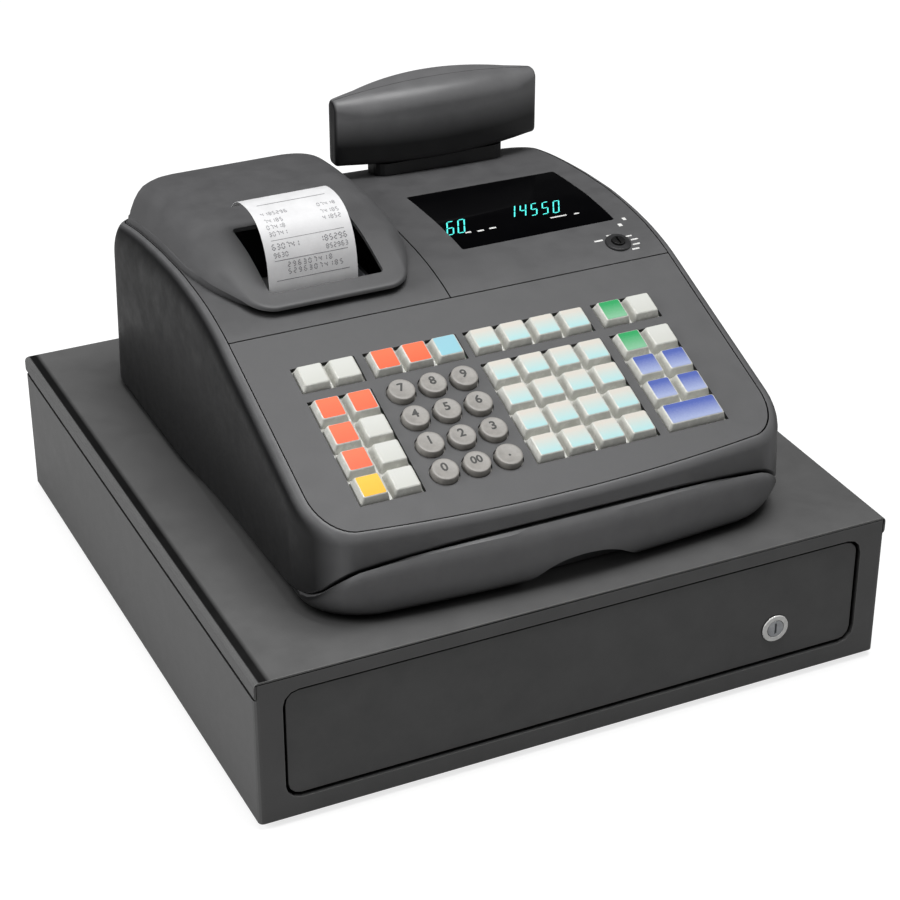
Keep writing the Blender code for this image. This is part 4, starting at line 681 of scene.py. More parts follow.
cap_plastic = clear_cap("key cap polycarbonate")
slip_inks = {"white": ("#c9cac5", "#c2c3bd"), "orange": ("#ee6f4c", "#ec6543"), "yellow": ("#ebb93a", "#e8b02a"),
             "light blue": ("#8fbfcc", "#8dc0cc"), "green": ("#2f9a5c", "#7db591"),
             "blue": ("#4c5ea6", "#9aa5c8"), "department": ("#cbc6bd", "#a9cfd0")}
slips = [printed_slip(colour + " slip", top, bottom) for colour, (top, bottom) in slip_inks.items()]
slip_order = list(slip_inks)
cap_width, cap_rise, web_skin, web_gap, web_reach = 0.0192, 0.004, 0.0014, 0.0003, 0.0098
slip_width, slip_depth = 0.0136, 0.0142


def cap(x, y, width, depth=cap_width, taper=0.002):
    """A key cap that narrows towards its top, with rounded corners and a rounded rim."""
    shape = block((x - width / 2, y - depth / 2, -deck_skin - web_skin), (x + width / 2, y + depth / 2, cap_rise))
    for corner in shape.verts:
        if corner.co.z > 0:
            corner.co.x += taper if corner.co.x < x else -taper
            corner.co.y += taper if corner.co.y < y else -taper
    upright = [edge for edge in shape.edges if abs(edge.verts[0].co.z - edge.verts[1].co.z) > cap_rise]
    bmesh.ops.bevel(shape, geom=upright, offset=0.0013, segments=4, profile=0.5, affect="EDGES")
    rim = [edge for edge in shape.edges if min(end.co.z for end in edge.verts) > cap_rise - 0.0001]
    bmesh.ops.bevel(shape, geom=rim, offset=0.0006, segments=3, profile=0.5, affect="EDGES")
    return shape


def rounded_rectangle(x, y, width, depth, radius, steps=4):
    """The corners and arcs of a rectangle with rounded corners."""
    points = []
    for quarter, (side, end) in enumerate(((1, 1), (-1, 1), (-1, -1), (1, -1))):
        for step in range(steps + 1):
            turn = math.pi / 2 * (quarter + step / steps)
            points.append((x + side * (width / 2 - radius) + radius * math.cos(turn),
                           y + end * (depth / 2 - radius) + radius * math.sin(turn)))
    return points


def add_slips(name, places, body):
    """The coloured slips of one block, as thin cards on the caps' tops."""
    shape = bmesh.new()
    layer = shape.loops.layers.uv.new("slip")
    for x, y, colour, wide in places:
        width = slip_width + wide
        points = rounded_rectangle(x, y, width, slip_depth, 0.0009)
        rows = [[shape.verts.new((px, py, cap_rise + z)) for px, py in points] for z in (-0.0003, 0.00012)]
        for face in [shape.faces.new(rows[1])] + band(shape, *rows) + [shape.faces.new(rows[0][::-1])]:
            face.material_index = slip_order.index(colour)
            for corner in face.loops:
                corner[layer].uv = (0.5 + (corner.vert.co.x - x) / width, 0.5 + (corner.vert.co.y - y) / slip_depth)
    piece = add_piece(name, moved(shape, deck_place), slips[0])
    for slip in slips[1:]:
        piece.data.materials.append(slip)
    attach(piece, body)


def add_caps(name, node, body, places):
    """The clear caps of one block, on the strip under the deck that joins them."""
    reach = (web_reach + places[0][3] / 2, web_reach)
    low, high = ([pick(place[axis] for place in places) + side * reach[axis] for axis in (0, 1)]
                 for pick, side in ((min, -1), (max, 1)))
    shapes = [cap(x, y, cap_width + wide) for x, y, colour, wide in places]
    shapes.append(block((*low, -deck_skin - web_gap - web_skin), (*high, -deck_skin - web_gap)))
    piece = add_piece(name, moved(together(shapes), deck_place), cap_plastic)
    round_skin(piece)
    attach(piece, body)
    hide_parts(node)


# Colours from the row nearest the operator up, each row from the left
block_rows = {"left": ((0, "yellow", "white"), (1, "orange", "white"), (2, "orange", "white"),
                       (3, "orange", "orange")),
              "payment": ((1, "blue", "blue"), (2, "blue", "blue"), (3, "green", "white"), (4, "green", "white")),
              "department": [(row,) + ("department",) * 4 for row in range(5)]}
block_keys = {name: [(x, key_row(row), colour, 0) for row, *colours in rows
                     for x, colour in zip(key_columns(name, counts[name]), colours)]
              for name, rows in block_rows.items()}
top_keys = [(x, key_row(4), colour, 0) for x, colour in
            zip(key_columns("left", 2) + key_columns("number", 3),
                ("white", "white", "orange", "orange", "light blue"))]
total_place = [(sum(key_columns("payment", 2)) / 2, key_row(0), "blue", pitch)]
key_bodies = {node: joint["child"] for joint in frame["joints"]
              for node in frame["record"]["behaviour"]["bodies"][joint["child"]]}
for name, node, places in (("function_caps_top", "function_keys_top", top_keys),
                           ("function_caps_left", "function_keys_left", block_keys["left"]),
                           ("department_caps", "department_keys", block_keys["department"]),
                           ("payment_caps", "payment_keys", block_keys["payment"]),
                           ("total_cap", "total_key", total_place)):
    add_caps(name, node, key_bodies[node], places)
    add_slips(name.replace("cap", "slip"), places, key_bodies[node])


def round_key_plastic(name):
    """Grey ABS with a fine grain and soft patches of colour and gloss."""
    return new_finish(name, "#8c8a86", 0.42, 0, (0.004, "#84817d", "#94918c", 0.36, 0.5), (0.0006, 0.00003))


def lettering(text, height):
    """A printed figure as a thin plate, centred on its own middle."""
    curve = bpy.data.curves.new("figure", "FONT")
    curve.body = text
    curve.size = height
    curve.align_x = "CENTER"
    curve.align_y = "CENTER"
    curve.extrude = 0.00004
    curve.offset = 0.00022
    curve.resolution_u = 3
    holder = bpy.data.objects.new("figure", curve)
    bpy.context.scene.collection.objects.link(holder)
    bpy.context.view_layer.update()
    mesh = bpy.data.meshes.new_from_object(holder.evaluated_get(bpy.context.evaluated_depsgraph_get()))
    shape = bmesh.new()
    shape.from_mesh(mesh)
    bmesh.ops.remove_doubles(shape, verts=shape.verts[:], dist=0.000005)
    bpy.data.objects.remove(holder)
    bpy.data.curves.remove(curve)
    return shape


def turned(profile, steps=40):
    """A shape swept once round the Z axis from a line of radius and height pairs."""
    shape = bmesh.new()
    rows = []
    for step in range(steps):
        turn = 2 * math.pi * step / steps
        rows.append([None if radius == 0 else
                     shape.verts.new((radius * math.cos(turn), radius * math.sin(turn), height))
                     for radius, height in profile])
    poles = {number: shape.verts.new((0, 0, height))
             for number, (radius, height) in enumerate(profile) if radius == 0}
    for step in range(steps):
        here, there = rows[step], rows[(step + 1) % steps]
        for number in range(len(profile) - 1):
            corners = []
            for row, index in ((here, number), (here, number + 1), (there, number + 1), (there, number)):
                corner = row[index] if row[index] is not None else poles[index]
                if corner not in corners:
                    corners.append(corner)
            shape.faces.new(corners)
    return facing_out(shape)


grey_abs = round_key_plastic("number key ABS")
black_print = dark_ink("black pad print")
flange_top = -deck_skin - web_gap
round_profile = [(0, 0.0036), (0.0045, 0.0037), (0.0066, 0.0040), (0.0072, 0.0040), (0.0077, 0.0038),
                 (0.0080, 0.0034), (0.0081, 0.0029), (0.0083, 0.0005), (0.0085, flange_top),
                 (0.0095, flange_top), (0.0095, flange_top - web_skin), (0, flange_top - web_skin)]
for number, figure in enumerate(("0", "00", "point", *"123456789")):
    node = "number_key_" + figure
    place = deck_place @ Matrix.Translation((key_columns("number", 3)[number % 3], number_row(number // 3), 0))
    key = add_piece("round_" + node, moved(turned(round_profile), place), grey_abs)
    round_skin(key)
    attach(key, key_bodies[node])
    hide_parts(node)
    shape = lettering(figure.replace("point", "."), 0.0074 if figure == "00" else 0.0084)
    shape = moved(shape, place @ Matrix.Translation((0, 0.0014, 0.00372)))
    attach(add_piece("figure_" + node, shape, black_print), key_bodies[node])


# Printer cover
# One charcoal ABS moulding, hinged at its back edge: a flat margin, and a hood whose curved
# plate has the paper window. The hood's front overhangs the deck by a finger's width.

hood_front, hood_back, hood_neck, hood_neck_draw = -0.0285, 0.1585, -0.020, 0.004
plate_left, plate_right = -0.124, -0.0245
flank_left, flank_right, hood_corner, hood_back_corner = 0.0225, 0.019, 0.014, 0.016
hood_front_rise, hood_crown, hood_lip = 0.1250, 0.0223, 0.0045
hood_shares = [(0, 0), (0.083, 0.23), (0.167, 0.49), (0.261, 0.735), (0.389, 0.906), (0.528, 1), (0.694, 0.98),
               (0.833, 0.90), (1, 0.72)]
fold_shares = [(0, 0), (0.075, 0.18), (0.10, 0.30), (0.235, 0.80), (0.39, 1), (1, 1)]
# Share out, share up, and how far the edge has turned in at the front and at the back
flank_points = [(0.94, 0.0, 0.0, 0.03), (0.90, 0.15, 0.0, 0.04), (0.78, 0.45, 0.0, 0.07), (0.67, 0.65, 0.005, 0.12),
                (0.55, 0.80, 0.02, 0.18), (0.41, 0.89, 0.04, 0.26), (0.28, 0.95, 0.08, 0.35),
                (0.13, 0.985, 0.14, 0.47), (0.0, 1.0, 0.22, 0.60)]
skin = 0.0027


def along_hood(y):
    """How far a place lies back along the hood, as a share of its length."""
    return (y - hood_front) / (hood_back - hood_front)


def hood_line(x, y, depth=0):
    """The height of the hood's plate, or of a place below it."""
    return drawer_top + hood_front_rise + hood_crown * through(hood_shares, along_hood(y)) - depth


def hood_ring(spread, front, back, inset, neck, height):
    """One outline of the hood, a share of its flank's width out from the plate's edge."""
    points = outline(plate_left + inset, plate_right - inset, front, back, (hood_corner - inset,) * 3,
                     (hood_back_corner - inset,) * 3, 0, height, 60, 12)
    for point in points:
        fold = through(fold_shares, along_hood(point.y))
        drawn = neck * hood_neck_draw * (1 - fold)
        if point.x < (plate_left + plate_right) / 2:
            point.x += drawn - flank_left * spread * fold
        else:
            point.x += flank_right * spread * fold - drawn
        point.z = height(point.x, point.y)
    return points


def between(low, high, share):
    """Heights a share of the way from one surface up to another."""
    return lambda x, y: low(x, y) + (high(x, y) - low(x, y)) * share


def over_top(lift):
    """Heights above the console's top, or below it."""
    return lambda x, y: top_line(x, y, -lift)


def under_hood(depth):
    """Heights below the hood's plate."""
    return lambda x, y: hood_line(x, y, depth)


hood_outer = [hood_ring(spread, hood_neck, hood_back, 0, 1, over_top(lift))
              for spread, lift in ((1, -plate / 2), (0.97, 0.00405))]
hood_outer += [hood_ring(spread, hood_front + hood_corner * front_share, hood_back - hood_corner * back_share, 0, 0,
                         between(over_top(hood_lip), hood_line, rise))
               for spread, rise, front_share, back_share in flank_points]
inner_front, inner_back = hood_neck + skin, hood_back - skin
hood_low, hood_high = over_top(hood_lip / 2), under_hood(skin * 1.6)
hood_inner = [hood_ring(spread, inner_front + forward, inner_back - skin * steps_in, skin * walls, 1, height)
              for spread, forward, steps_in, walls, height in (
                  (1, 0, 0, 1, over_top(-hood_lip)), (0.96, 0, 0, 1.1, hood_low),
                  (0.80, 0, 1, 1.1, between(hood_low, hood_high, 0.5)), (0.49, 0.0003, 2, 1.1, hood_high),
                  (0.1, 0.0006, 3, 1.1, under_hood(skin)))]
margin_rings = plate_rings(-cover_half, -0.0044, -0.0396, 0.1613, (0.0005,) * 3,
                           (0.018, 0.0005, 0.018), 0, 44, 8)
paper_window = rounded_rectangle(-0.0745, 0.0145, 0.074, 0.063, 0.003, 6)
printer_hood = add_piece("printer_hood", loft(margin_rings, True), deck_abs)
cut_and_join(printer_hood, [("UNION", loft(hood_outer, True)), ("DIFFERENCE", loft(hood_inner, True)),
                            ("DIFFERENCE", extruded(paper_window, 0.2145, 0.2485))])
round_skin(printer_hood, 0.0004)
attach(printer_hood, "printer_lid")
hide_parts("printer_cover")


# Display cover, window and mode lock
# The right half of the top is one more charcoal moulding. A smoked acrylic window lies flush
# in it over a vacuum fluorescent display, and a round key lock picks the mode.

def window_ring(inset, depth):
    """One outline of the display window."""
    return outline(0.0235 + inset, 0.131 - inset, 0.0005 + inset, 0.0855 - inset, (0.0015,) * 3, (0.0015,) * 3, 0,
                   over_top(-depth), 24, 4)


mode_place = Matrix.Translation((0.1205, -0.0235, 0.2198)) @ Matrix.Rotation(0.2475, 4, "X")
cover_rings = plate_rings(-0.0036, cover_half, -0.0396, 0.1613, (0.0005,) * 3,
                          (0.0005, 0.018, 0.018), 0, 44, 8)
display_cover = add_piece("display_cover_plate", loft(cover_rings, True), deck_abs)
mode_hole = moved(rod((0, 0, 0), (0, 0, 1), 0.0073, 0.015), mode_place)
cut_and_join(display_cover, [("DIFFERENCE", loft([window_ring(0, 0.005), window_ring(0, -0.002)], True)),
                             ("DIFFERENCE", mode_hole)])
round_skin(display_cover, 0.0003)
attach(display_cover, "cabinet")
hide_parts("display_cover")


def smoked_acrylic(name):
    """Black tinted acrylic, polished: deep black with a mirror gloss and faint wiping marks."""
    return new_finish(name, "#020203", 0.08, 0, (0.02, "#010102", "#030304", 0.05, 0.14), None,
                      {"Specular IOR Level": 0.06})


window_acrylic, window_gap = smoked_acrylic("window smoked acrylic"), 0.0003
window_rings = [window_ring(window_gap, depth) for depth in (0.0023, window_gap)]
display_window = add_piece("operator_window", loft(window_rings, True), window_acrylic)
round_skin(display_window, 0.0003)
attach(display_window, "cabinet")
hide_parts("display_window")


def lit_phosphor(name, colour, strength):
    """Zinc oxide phosphor lit by the tube's filaments: blue-green, a little uneven."""
    material = new_finish(name, colour, 0.5, extra={"Emission Color": linear(colour)})
    place = add_node(material, "ShaderNodeTexCoord")
    glow = add_node(material, "ShaderNodeTexNoise", {"Scale": 1 / 0.002, "Detail": 3},
                    {"Vector": place.outputs["Object"]})
    level = add_node(material, "ShaderNodeMapRange", {"To Min": strength * 0.7, "To Max": strength * 1.2},
                     {"Value": glow})
    feed(material, "Emission Strength", level.outputs[0])
    return material


segments_of = {"0": "abcdef", "1": "bc", "2": "abged", "3": "abgcd", "4": "fgbc", "5": "afgcd",
               "6": "afgedc", "7": "abc", "8": "abcdefg", "9": "abcdfg"}


def add_flat(shape, corners, place):
    """Adds a thin flat print with the given corners, laid on a surface."""
    rows = [[shape.verts.new(place(x, y, lift)) for x, y in corners] for lift in (0, 0.00004)]
    shape.faces.new(rows[1])
    shape.faces.new(rows[0][::-1])
    band(shape, *rows)


def segment_figure(shape, figure, x, y, height, place, stroke=0.06, slant=0.5, spread=0.13):
    """Adds one figure made of straight strokes, as a display or a receipt printer draws it."""
    half, tall = height * spread, height / 2
    ends = {"a": ((-half, tall), (half, tall)), "b": ((half, tall), (half, 0)), "c": ((half, 0), (half, -tall)),
            "d": ((-half, -tall), (half, -tall)), "e": ((-half, 0), (-half, -tall)), "f": ((-half, tall), (-half, 0)),
            "g": ((-half, 0), (half, 0))}
    width = height * stroke / 2
    for letter in segments_of[figure]:
        start, end = (Vector(point) for point in ends[letter])
        along = (end - start).normalized() * width
        start, end = start + along * 0.55, end - along * 0.55
        side = Vector((-along.y, along.x))
        corners = [start, start + along + side, end - along + side, end, end - along - side, start + along - side]
        add_flat(shape, [(x + p.x + p.y * slant, y + p.y) for p in corners], place)


def add_bars(shape, places, place):
    """Adds short flat bars, which stand where printed words were."""
    for x, y, width, height in places:
        add_flat(shape, [(x + side * width / 2, y + end * height / 2)
                         for side, end in ((-1, -1), (1, -1), (1, 1), (-1, 1))], place)


def on_top(lift):
    """Places laid a little above the console's top."""
    return lambda x, y, more: Vector((x, y, top_line(x, y, -lift) + more))


def white_ink(name):
    """Screen printed white ink: flat and slightly chalky."""
    return new_finish(name, "#d6d6d4", 0.5, 0, (0.0012, "#c4c4c2", "#e4e4e2", 0.4, 0.6))


white_print = white_ink("white screen print")
on_window = on_top(0.00006 - window_gap)
lit = bmesh.new()
for x, figure in ((0.0285, "6"), (0.0362, "0")):
    segment_figure(lit, figure, x, 0.0290, 0.0165, on_window, slant=0.45)
for number, figure in enumerate("14550"):
    segment_figure(lit, figure, 0.0748 + number * 0.0074, 0.0345 - number * 0.0011, 0.0150, on_window)
window_marks, lock_marks = bmesh.new(), bmesh.new()
add_bars(window_marks, [(0.0365, 0.0194, 0.0040, 0.0016), (0.0448, 0.0185, 0.0045, 0.0016),
                        (0.0534, 0.0189, 0.0045, 0.0016), (0.0995, 0.0172, 0.0115, 0.0014),
                        (0.1121, 0.0164, 0.0035, 0.0014)], on_window)
add_bars(lock_marks, [(0.1096, -0.0181, 0.0060, 0.0014), (0.1189, -0.0150, 0.0045, 0.0012),
                      (0.1300, -0.0190, 0.0055, 0.0012), (0.1325, -0.0230, 0.0050, 0.0012),
                      (0.1315, -0.0275, 0.0050, 0.0012), (0.1290, -0.0315, 0.0050, 0.0012),
                      (0.1312, -0.0066, 0.0026, 0.0030), (0.1372, -0.0009, 0.0022, 0.0030)], on_top(0.00002))
for name, shape, material in (("display_figures", lit, lit_phosphor("lit phosphor", "#45cfc6", 0.75)),
                              ("window_marks", window_marks, white_print), ("mode_marks", lock_marks, white_print)):
    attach(add_piece(name, facing_out(shape), material), "cabinet")


def tube_glass(name):
    """The evacuated glass tube behind the window: dark, clear-coated, with a silvery getter tint."""
    return new_finish(name, "#1a1f22", 0.1, 0, (0.01, "#14181b", "#2a3034", 0.05, 0.2), None, {"Coat Weight": 1})


dress(tube_glass("display tube glass"), "display_module")
dress(formed_abs("mode lock ABS", "#262627", "#303031", 0.34), "mode_lock_barrel")
dress(formed_abs("mode plug ABS", "#101010", "#181818", 0.3), "mode_lock_plug")
round_off("mode_lock_barrel", 0.00015)
round_off("mode_lock_plug", 0.0001)


# Boards, transformer and printer
# Inside the console: two soldered boards, an iron-cored mains transformer, and the thermal
# printer with its steel frame, rubber platen, print head and roll of paper.

def printed_board(name):
    """Glass epoxy board under green solder resist, with tinned tracks showing as paler lines."""
    material = new_finish(name, "#1d5a35", 0.35, grain=(0.002, 0.00003))
    place = add_node(material, "ShaderNodeTexCoord")
    tracks = add_node(material, "ShaderNodeTexBrick",
                      {"Scale": 1 / 0.01, "Mortar Size": 0.03, "Color1": linear("#1a5230"),
                       "Color2": linear("#215f39"), "Mortar": linear("#4f8d5c")},
                      {"Vector": place.outputs["Object"]})
    feed(material, "Base Color", tracks.outputs[0])
    return material


def laminated_iron(name):
    """Stacked transformer plates, varnished: brown-black bands about half a millimetre thick."""
    material = new_finish(name, "#4a443c", 0.4, 0.7)
    place = add_node(material, "ShaderNodeTexCoord")
    bands = add_node(material, "ShaderNodeTexWave", {"Scale": 1 / 0.006, "Distortion": 0.4, "bands_direction": "Y"},
                     {"Vector": place.outputs["Object"]})
    colours = add_node(material, "ShaderNodeValToRGB", {"stops": ((0, "#2f2a25"), (1, "#6a6257"))}, {"Fac": bands})
    feed(material, "Base Color", colours.outputs[0])
    relief = add_node(material, "ShaderNodeBump", {"Distance": 0.0001}, {"Height": bands})
    feed(material, "Normal", relief.outputs[0])
    return material


def thermal_paper(name):
    """Coated thermal paper: bright, smooth and slightly glossy."""
    return new_finish(name, "#d2d2d3", 0.5, 0, (0.01, "#cdcdce", "#d7d7d8", 0.42, 0.58), (0.0012, 0.00002))


dress(printed_board("glass epoxy board"), "keyboard_board", "main_board", "pod_display_module")
dress(laminated_iron("transformer iron"), "power_transformer")
dress(zinc_plate("printer frame zinc", (1, 1, 0.1)), "printer_frame")
dress(moulded_rubber("platen rubber"), "platen_roller")
dress(formed_abs("print head resin", "#171717", "#202020", 0.35), "print_head")
dress(thermal_paper("roll paper"), "paper_roll")


# Receipt
# A 57 mm strip of thermal paper that climbs from the platen through the window and curls
# back under its own weight, printed with plain rows of figures.

receipt_left, receipt_width, receipt_skin, across = -0.1105, 0.0575, 0.00008, 10
receipt_foot, receipt_reach, receipt_rise = (-0.01295, 0.1992), 0.066, 0.070
run_points = [(0.0, 0.0), (0.0, 0.17), (0.0, 0.36), (0.015, 0.54), (0.055, 0.70), (0.13, 0.83), (0.24, 0.93),
              (0.38, 0.985), (0.55, 1.0), (0.72, 0.98), (0.83, 0.93), (0.90, 0.87)]
paper_line = [Vector((receipt_foot[0] + run * receipt_reach, receipt_foot[1] + rise * receipt_rise))
              for run, rise in run_points]
paper_path = []
for number in range(len(paper_line) - 1):
    before, start = paper_line[max(0, number - 1)], paper_line[number]
    end, after = paper_line[number + 1], paper_line[min(len(paper_line) - 1, number + 2)]
    for share in [step / 6 for step in range(6)]:
        paper_path.append(0.5 * ((2 * start) + (end - before) * share
                                 + (2 * before - 5 * start + 4 * end - after) * share ** 2
                                 + (3 * start - before - 3 * end + after) * share ** 3))
paper_path.append(paper_line[-1])
paper_runs = [0.0]
for here, there in zip(paper_path, paper_path[1:]):
    paper_runs.append(paper_runs[-1] + (there - here).length)


def on_paper(x, run, lift):
    """A point a given way along the receipt, lifted off its printed side."""
    number = max(0, min(len(paper_path) - 2, sum(1 for length in paper_runs[1:] if length < run)))
    here, there = paper_path[number], paper_path[number + 1]
    share = (run - paper_runs[number]) / (paper_runs[number + 1] - paper_runs[number])
    along = (there - here).normalized()
    point = here + (there - here) * share + Vector((-along.y, along.x)) * lift
    return Vector((receipt_left + x, point.x, point.y))


def on_receipt(x, run, lift):
    """A point laid a little above the receipt's printed side."""
    return on_paper(x, run, 0.00011 + lift)


def thermal_print(name):
    """Heat-developed dye in the paper's coating: soft grey, paler where the head pressed lightly."""
    return new_finish(name, "#77777a", 0.55, 0, (0.0012, "#66666a", "#8d8d90", 0.5, 0.62))


steps_over = [(step, receipt_skin) for step in range(across + 1)]
steps_back = [(step, -receipt_skin) for step in range(across, -1, -1)]
sheet = loft([[on_paper(receipt_width * step / across, run, lift) for step, lift in steps_over + steps_back]
              for run in paper_runs], True)
receipt = add_piece("receipt_strip", sheet, thermal_paper("receipt paper"))

# Rows from the free end down: run, figures at the left and the right, and their height
# Each figure of a row is a digit with no meaning
printed, centred_rows = bmesh.new(), (7, 8)
for row, (run, left_count, right_count, size) in enumerate((
        (0.0890, 0, 0, 0.0), (0.0785, 7, 5, 0.0026), (0.0725, 5, 5, 0.0026), (0.0680, 5, 5, 0.0026),
        (0.0635, 5, 0, 0.0026), (0.0555, 6, 6, 0.0032), (0.0505, 4, 6, 0.0026), (0.0440, 9, 0, 0.0028),
        (0.0398, 11, 0, 0.0028))):
    start, step = (0.014, size * 0.95 * 1.25) if row in centred_rows else (0.006, size * 0.95)
    marks = [(start + number * step, number * 7 + row * 3) for number in range(left_count)]
    marks += [(0.052 - number * step, number * 3 + row * 7) for number in range(right_count)]
    for x, place in marks:
        segment_figure(printed, "1234567890"[place % 10], x, run, size, on_receipt, 0.2, 0, 0.27)
add_bars(printed, [(0.0288, 0.0890, 0.044, 0.0007), (0.0288, 0.0595, 0.047, 0.0003),
                   (0.0288, 0.0472, 0.047, 0.0004), (0.0288, 0.0350, 0.047, 0.0004)], on_receipt)
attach(add_piece("receipt_print", facing_out(printed), thermal_print("thermal print")), "cabinet")
round_skin(receipt)
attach(receipt, "cabinet")
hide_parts("receipt_paper")


# Customer display
# Two charcoal ABS shells closed round a small board, on an oval neck that turns in the
# console's top. The customer's side has its own smoked window.

pod_x, pod_y, pod_half, pod_floor, pod_skin_depth = 0.0722, 0.147, 0.0742, 0.230, 0.0022
pod_least, pod_front_swell, pod_back_swell = 0.006, 0.014, 0.017
pod_end_share, pod_end_pull = 0.965, 0.0022


def pod_back(share):
    """How far back the customer's side stands."""
    return pod_y + pod_least + pod_back_swell * (1 - share * share)


def pod_section(share, shrink, steps=8):
    """One upright section of the customer display, seen from its end."""
    x = pod_x + share * (pod_half - shrink)
    swell = 1 - share * share
    ends = max(0, abs(share) - pod_end_share) / (1 - pod_end_share)
    shrink_ends = shrink + pod_end_pull * (1 - math.sqrt(max(0, 1 - ends * ends)))
    front = pod_y - pod_least - pod_front_swell * swell + shrink_ends
    back = pod_back(share) - shrink_ends
    floor = pod_floor + shrink_ends
    top = pod_floor + 0.0452 + 0.0056 * swell - shrink_ends
    low, big, rear = (min(radius - shrink, (back - front) * part)
                      for radius, part in ((0.005, 0.3), (0.013, 0.5), (0.010, 0.4)))
    points = []
    for quarter, (y, z, radius) in enumerate(((back - rear, top - rear, rear), (front + big, top - big, big),
                                              (front + low, floor + low, low), (back - low, floor + low, low))):
        for step in range(steps + 1):
            turn = math.pi / 2 * (quarter + step / steps)
            points.append(Vector((x, y + radius * math.cos(turn), z + radius * math.sin(turn))))
    return points


def pod_skin(shrink):
    """The whole customer display as one closed skin."""
    shape = bmesh.new()
    ends = [pod_end_share, 0.978, 0.988, 0.996, 1]
    shares = [-share for share in ends[::-1]] + [step / 20 for step in range(-19, 20)] + ends
    rows = [[shape.verts.new(point) for point in pod_section(share, shrink)] for share in shares]
    for low, high in zip(rows, rows[1:]):
        band(shape, low, high)
    shape.faces.new(rows[0])
    shape.faces.new(rows[-1][::-1])
    return facing_out(shape)


def pod_slot(outer, inner, half):
    """The outline of the customer's window, seen from above."""
    far, near = [], []
    for step in range(-14, 15):
        share = step / 14 * half / pod_half
        far.append((pod_x + share * pod_half, pod_back(share) - outer))
        near.append((pod_x + share * pod_half, pod_back(share) - inner))
    return far + near[::-1]


# Painted shade on the side walls.
pod_abs = formed_abs("customer display ABS", "#5c5c5d", "#636364", 0.42)
paint_side_shade(pod_abs, "#121213")
# Painted shade: the pod's lower half is coloured darker than its upper half
pod_place = add_node(pod_abs, "ShaderNodeTexCoord")
pod_shade_level = add_node(pod_abs, "ShaderNodeSeparateXYZ", None, {"Vector": pod_place.outputs["Object"]})
lay_over(pod_abs, "#0a0a0b", add_node(pod_abs, "ShaderNodeMapRange", {"From Min": 0.262, "From Max": 0.244},
                                      {"Value": pod_shade_level.outputs["Z"]}))
for name, node, low_y, high_y in (("customer_display_front", "pod_front_shell", -0.05, -0.00025),
                                  ("customer_display_back", "pod_back_shell", 0.00025, 0.05)):
    half = add_piece(name, pod_skin(0), pod_abs)
    steps = [("DIFFERENCE", pod_skin(pod_skin_depth)),
             ("INTERSECT", block((pod_x - 0.09, pod_y + low_y, 0.2), (pod_x + 0.09, pod_y + high_y, 0.3))),
             ("DIFFERENCE", rod((pod_x, pod_y, pod_floor), (0, 0, 1), 0.012, 0.009, 40))]
    if name == "customer_display_back":
        steps.append(("DIFFERENCE", extruded(pod_slot(-0.002, 0.0042, 0.054), 0.240, 0.266)))
    cut_and_join(half, steps)
    round_skin(half)
    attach(half, "customer_display")
    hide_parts(node)
pod_glass = add_piece("customer_window", extruded(pod_slot(0.0003, 0.0021, 0.0537), 0.2403, 0.2657),
                      window_acrylic)
round_skin(pod_glass)
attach(pod_glass, "customer_display")
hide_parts("pod_window")
# The neck is coloured near black, as painted shade under the pod.
dress(formed_abs("pod neck ABS in painted shade", "#0b0b0c", "#101011", 0.5), "pod_neck")
round_off("pod_neck", 0.0004)


# Cord inlet
# A black nylon bush in the back wall, where the mains cord passes in.

dress(formed_abs("inlet nylon", "#141414", "#1c1c1c", 0.45), "cord_inlet")
round_off("cord_inlet", 0.0002)


# Studio
# A pale floor in a white room, one softbox on the left and one overhead, and the camera at
# the photograph's place. In reflections the room is bright before the register and dark
# behind it, as with a black drape hung there.

def seen_through(material):
    """The paths of light on which the pale background shows, and one when it does."""
    paths = add_node(material, "ShaderNodeLightPath")
    return paths, add_node(material, "ShaderNodeMath", {"operation": "MAXIMUM"},
                           {0: paths.outputs["Is Camera Ray"], 1: paths.outputs["Is Transmission Ray"]})


white_card = new_finish("studio floor", "#9c9c9c", 0.9, extra={"Specular IOR Level": 0})
card = white_card.node_tree.nodes
lift = add_node(white_card, "ShaderNodeMath", {"operation": "MULTIPLY", 1: 0.76}, {0: seen_through(white_card)[1]})
glow = add_node(white_card, "ShaderNodeEmission", {"Color": (1, 1, 1, 1)}, {"Strength": lift})
both = add_node(white_card, "ShaderNodeAddShader", None, {0: card["Principled BSDF"], 1: glow})
white_card.node_tree.links.new(both.outputs[0], card["Material Output"].inputs["Surface"])
floor_mesh = bpy.data.meshes.new("floor")
floor_mesh.from_pydata([(x, y, -0.0002) for x, y in ((-12, -12), (12, -12), (12, 12), (-12, 12))], [],
                       [(0, 1, 2, 3)])
floor_mesh.materials.append(white_card)
floor = bpy.data.objects.new("floor", floor_mesh)
bpy.context.scene.collection.objects.link(floor)

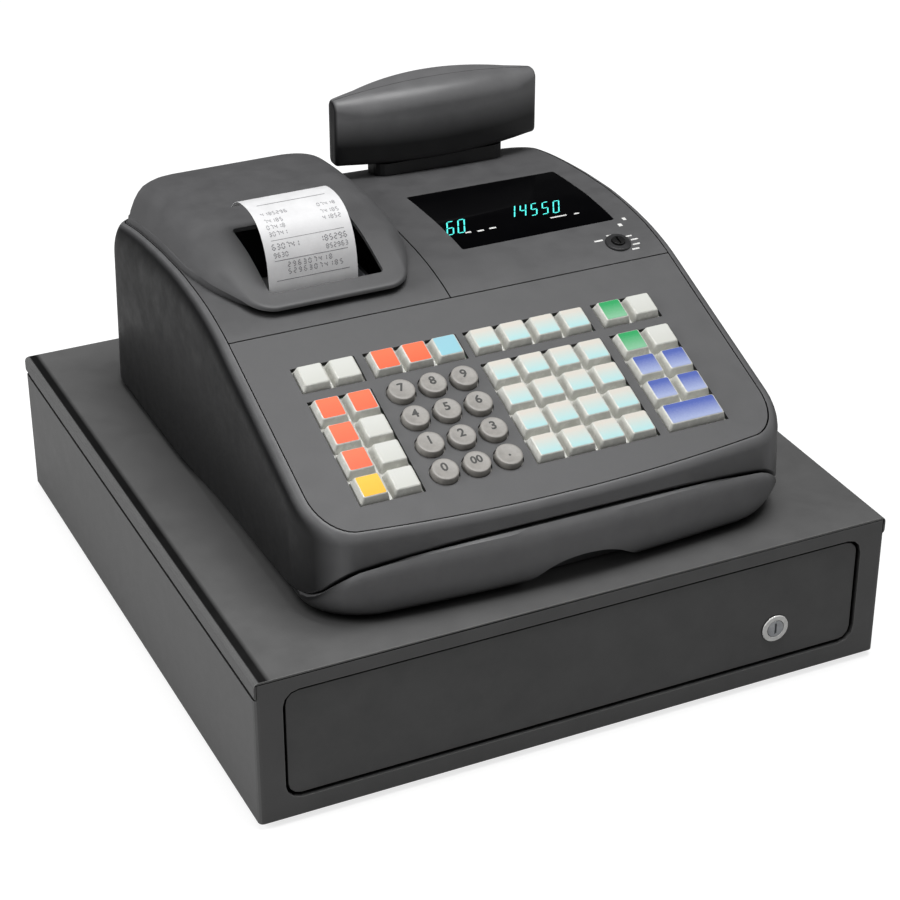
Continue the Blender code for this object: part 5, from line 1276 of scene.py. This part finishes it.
world = bpy.data.worlds.new("white room")
bpy.context.scene.world = world
world.use_nodes = True
background = world.node_tree.nodes["Background"]
background.inputs["Color"].default_value = (1, 1, 1, 1)
paths, seen = seen_through(world)
level = add_node(world, "ShaderNodeMapRange", {"To Min": 0.27, "To Max": 1}, {"Value": seen})
room_place = add_node(world, "ShaderNodeTexCoord")
towards = add_node(world, "ShaderNodeSeparateXYZ", None, {"Vector": room_place.outputs["Generated"]})
drape = add_node(world, "ShaderNodeMapRange", {"From Min": -0.5, "From Max": 0.4, "To Min": 0.9, "To Max": 0.06},
                 {"Value": towards.outputs["Y"]})
strength = add_node(world, "ShaderNodeMix", {"data_type": "FLOAT"},
                    {0: paths.outputs["Is Glossy Ray"], 2: level, 3: drape})
world.node_tree.links.new(strength.outputs[0], background.inputs["Strength"])


def add_softbox(name, place, size, power, mirrored):
    """A square flat light that faces the register, and may be kept out of reflections."""
    lamp = bpy.data.lights.new(name, "AREA")
    lamp.shape = "RECTANGLE"
    lamp.size = lamp.size_y = size
    lamp.energy = power
    box = bpy.data.objects.new(name, lamp)
    box.location = place
    box.rotation_euler = (Vector((0, 0, 0.12)) - Vector(place)).to_track_quat("-Z", "Y").to_euler()
    box.visible_glossy = mirrored
    bpy.context.scene.collection.objects.link(box)


add_softbox("left softbox", (-1.7, 0.1, 1.0), 1.0, 24, False)
add_softbox("top softbox", (0.25, -0.2, 2.2), 1.2, 42, True)

camera_data = bpy.data.cameras.new("camera")
camera_data.lens = 95.6
camera_data.sensor_width = 36
camera = bpy.data.objects.new("camera", camera_data)
turn, rise = math.radians(-25.398), math.radians(29.483)
behind = Vector((math.sin(turn) * math.cos(rise), -math.cos(turn) * math.cos(rise), math.sin(rise)))
right = Vector((math.cos(turn), math.sin(turn), 0))
axes = Matrix((right, behind.cross(right), behind)).transposed().to_4x4()
camera.matrix_world = Matrix.Translation((-0.56458, -1.21974, 0.84694)) @ axes
bpy.context.scene.collection.objects.link(camera)
bpy.context.scene.camera = camera
bpy.context.scene.view_settings.view_transform = "Standard"
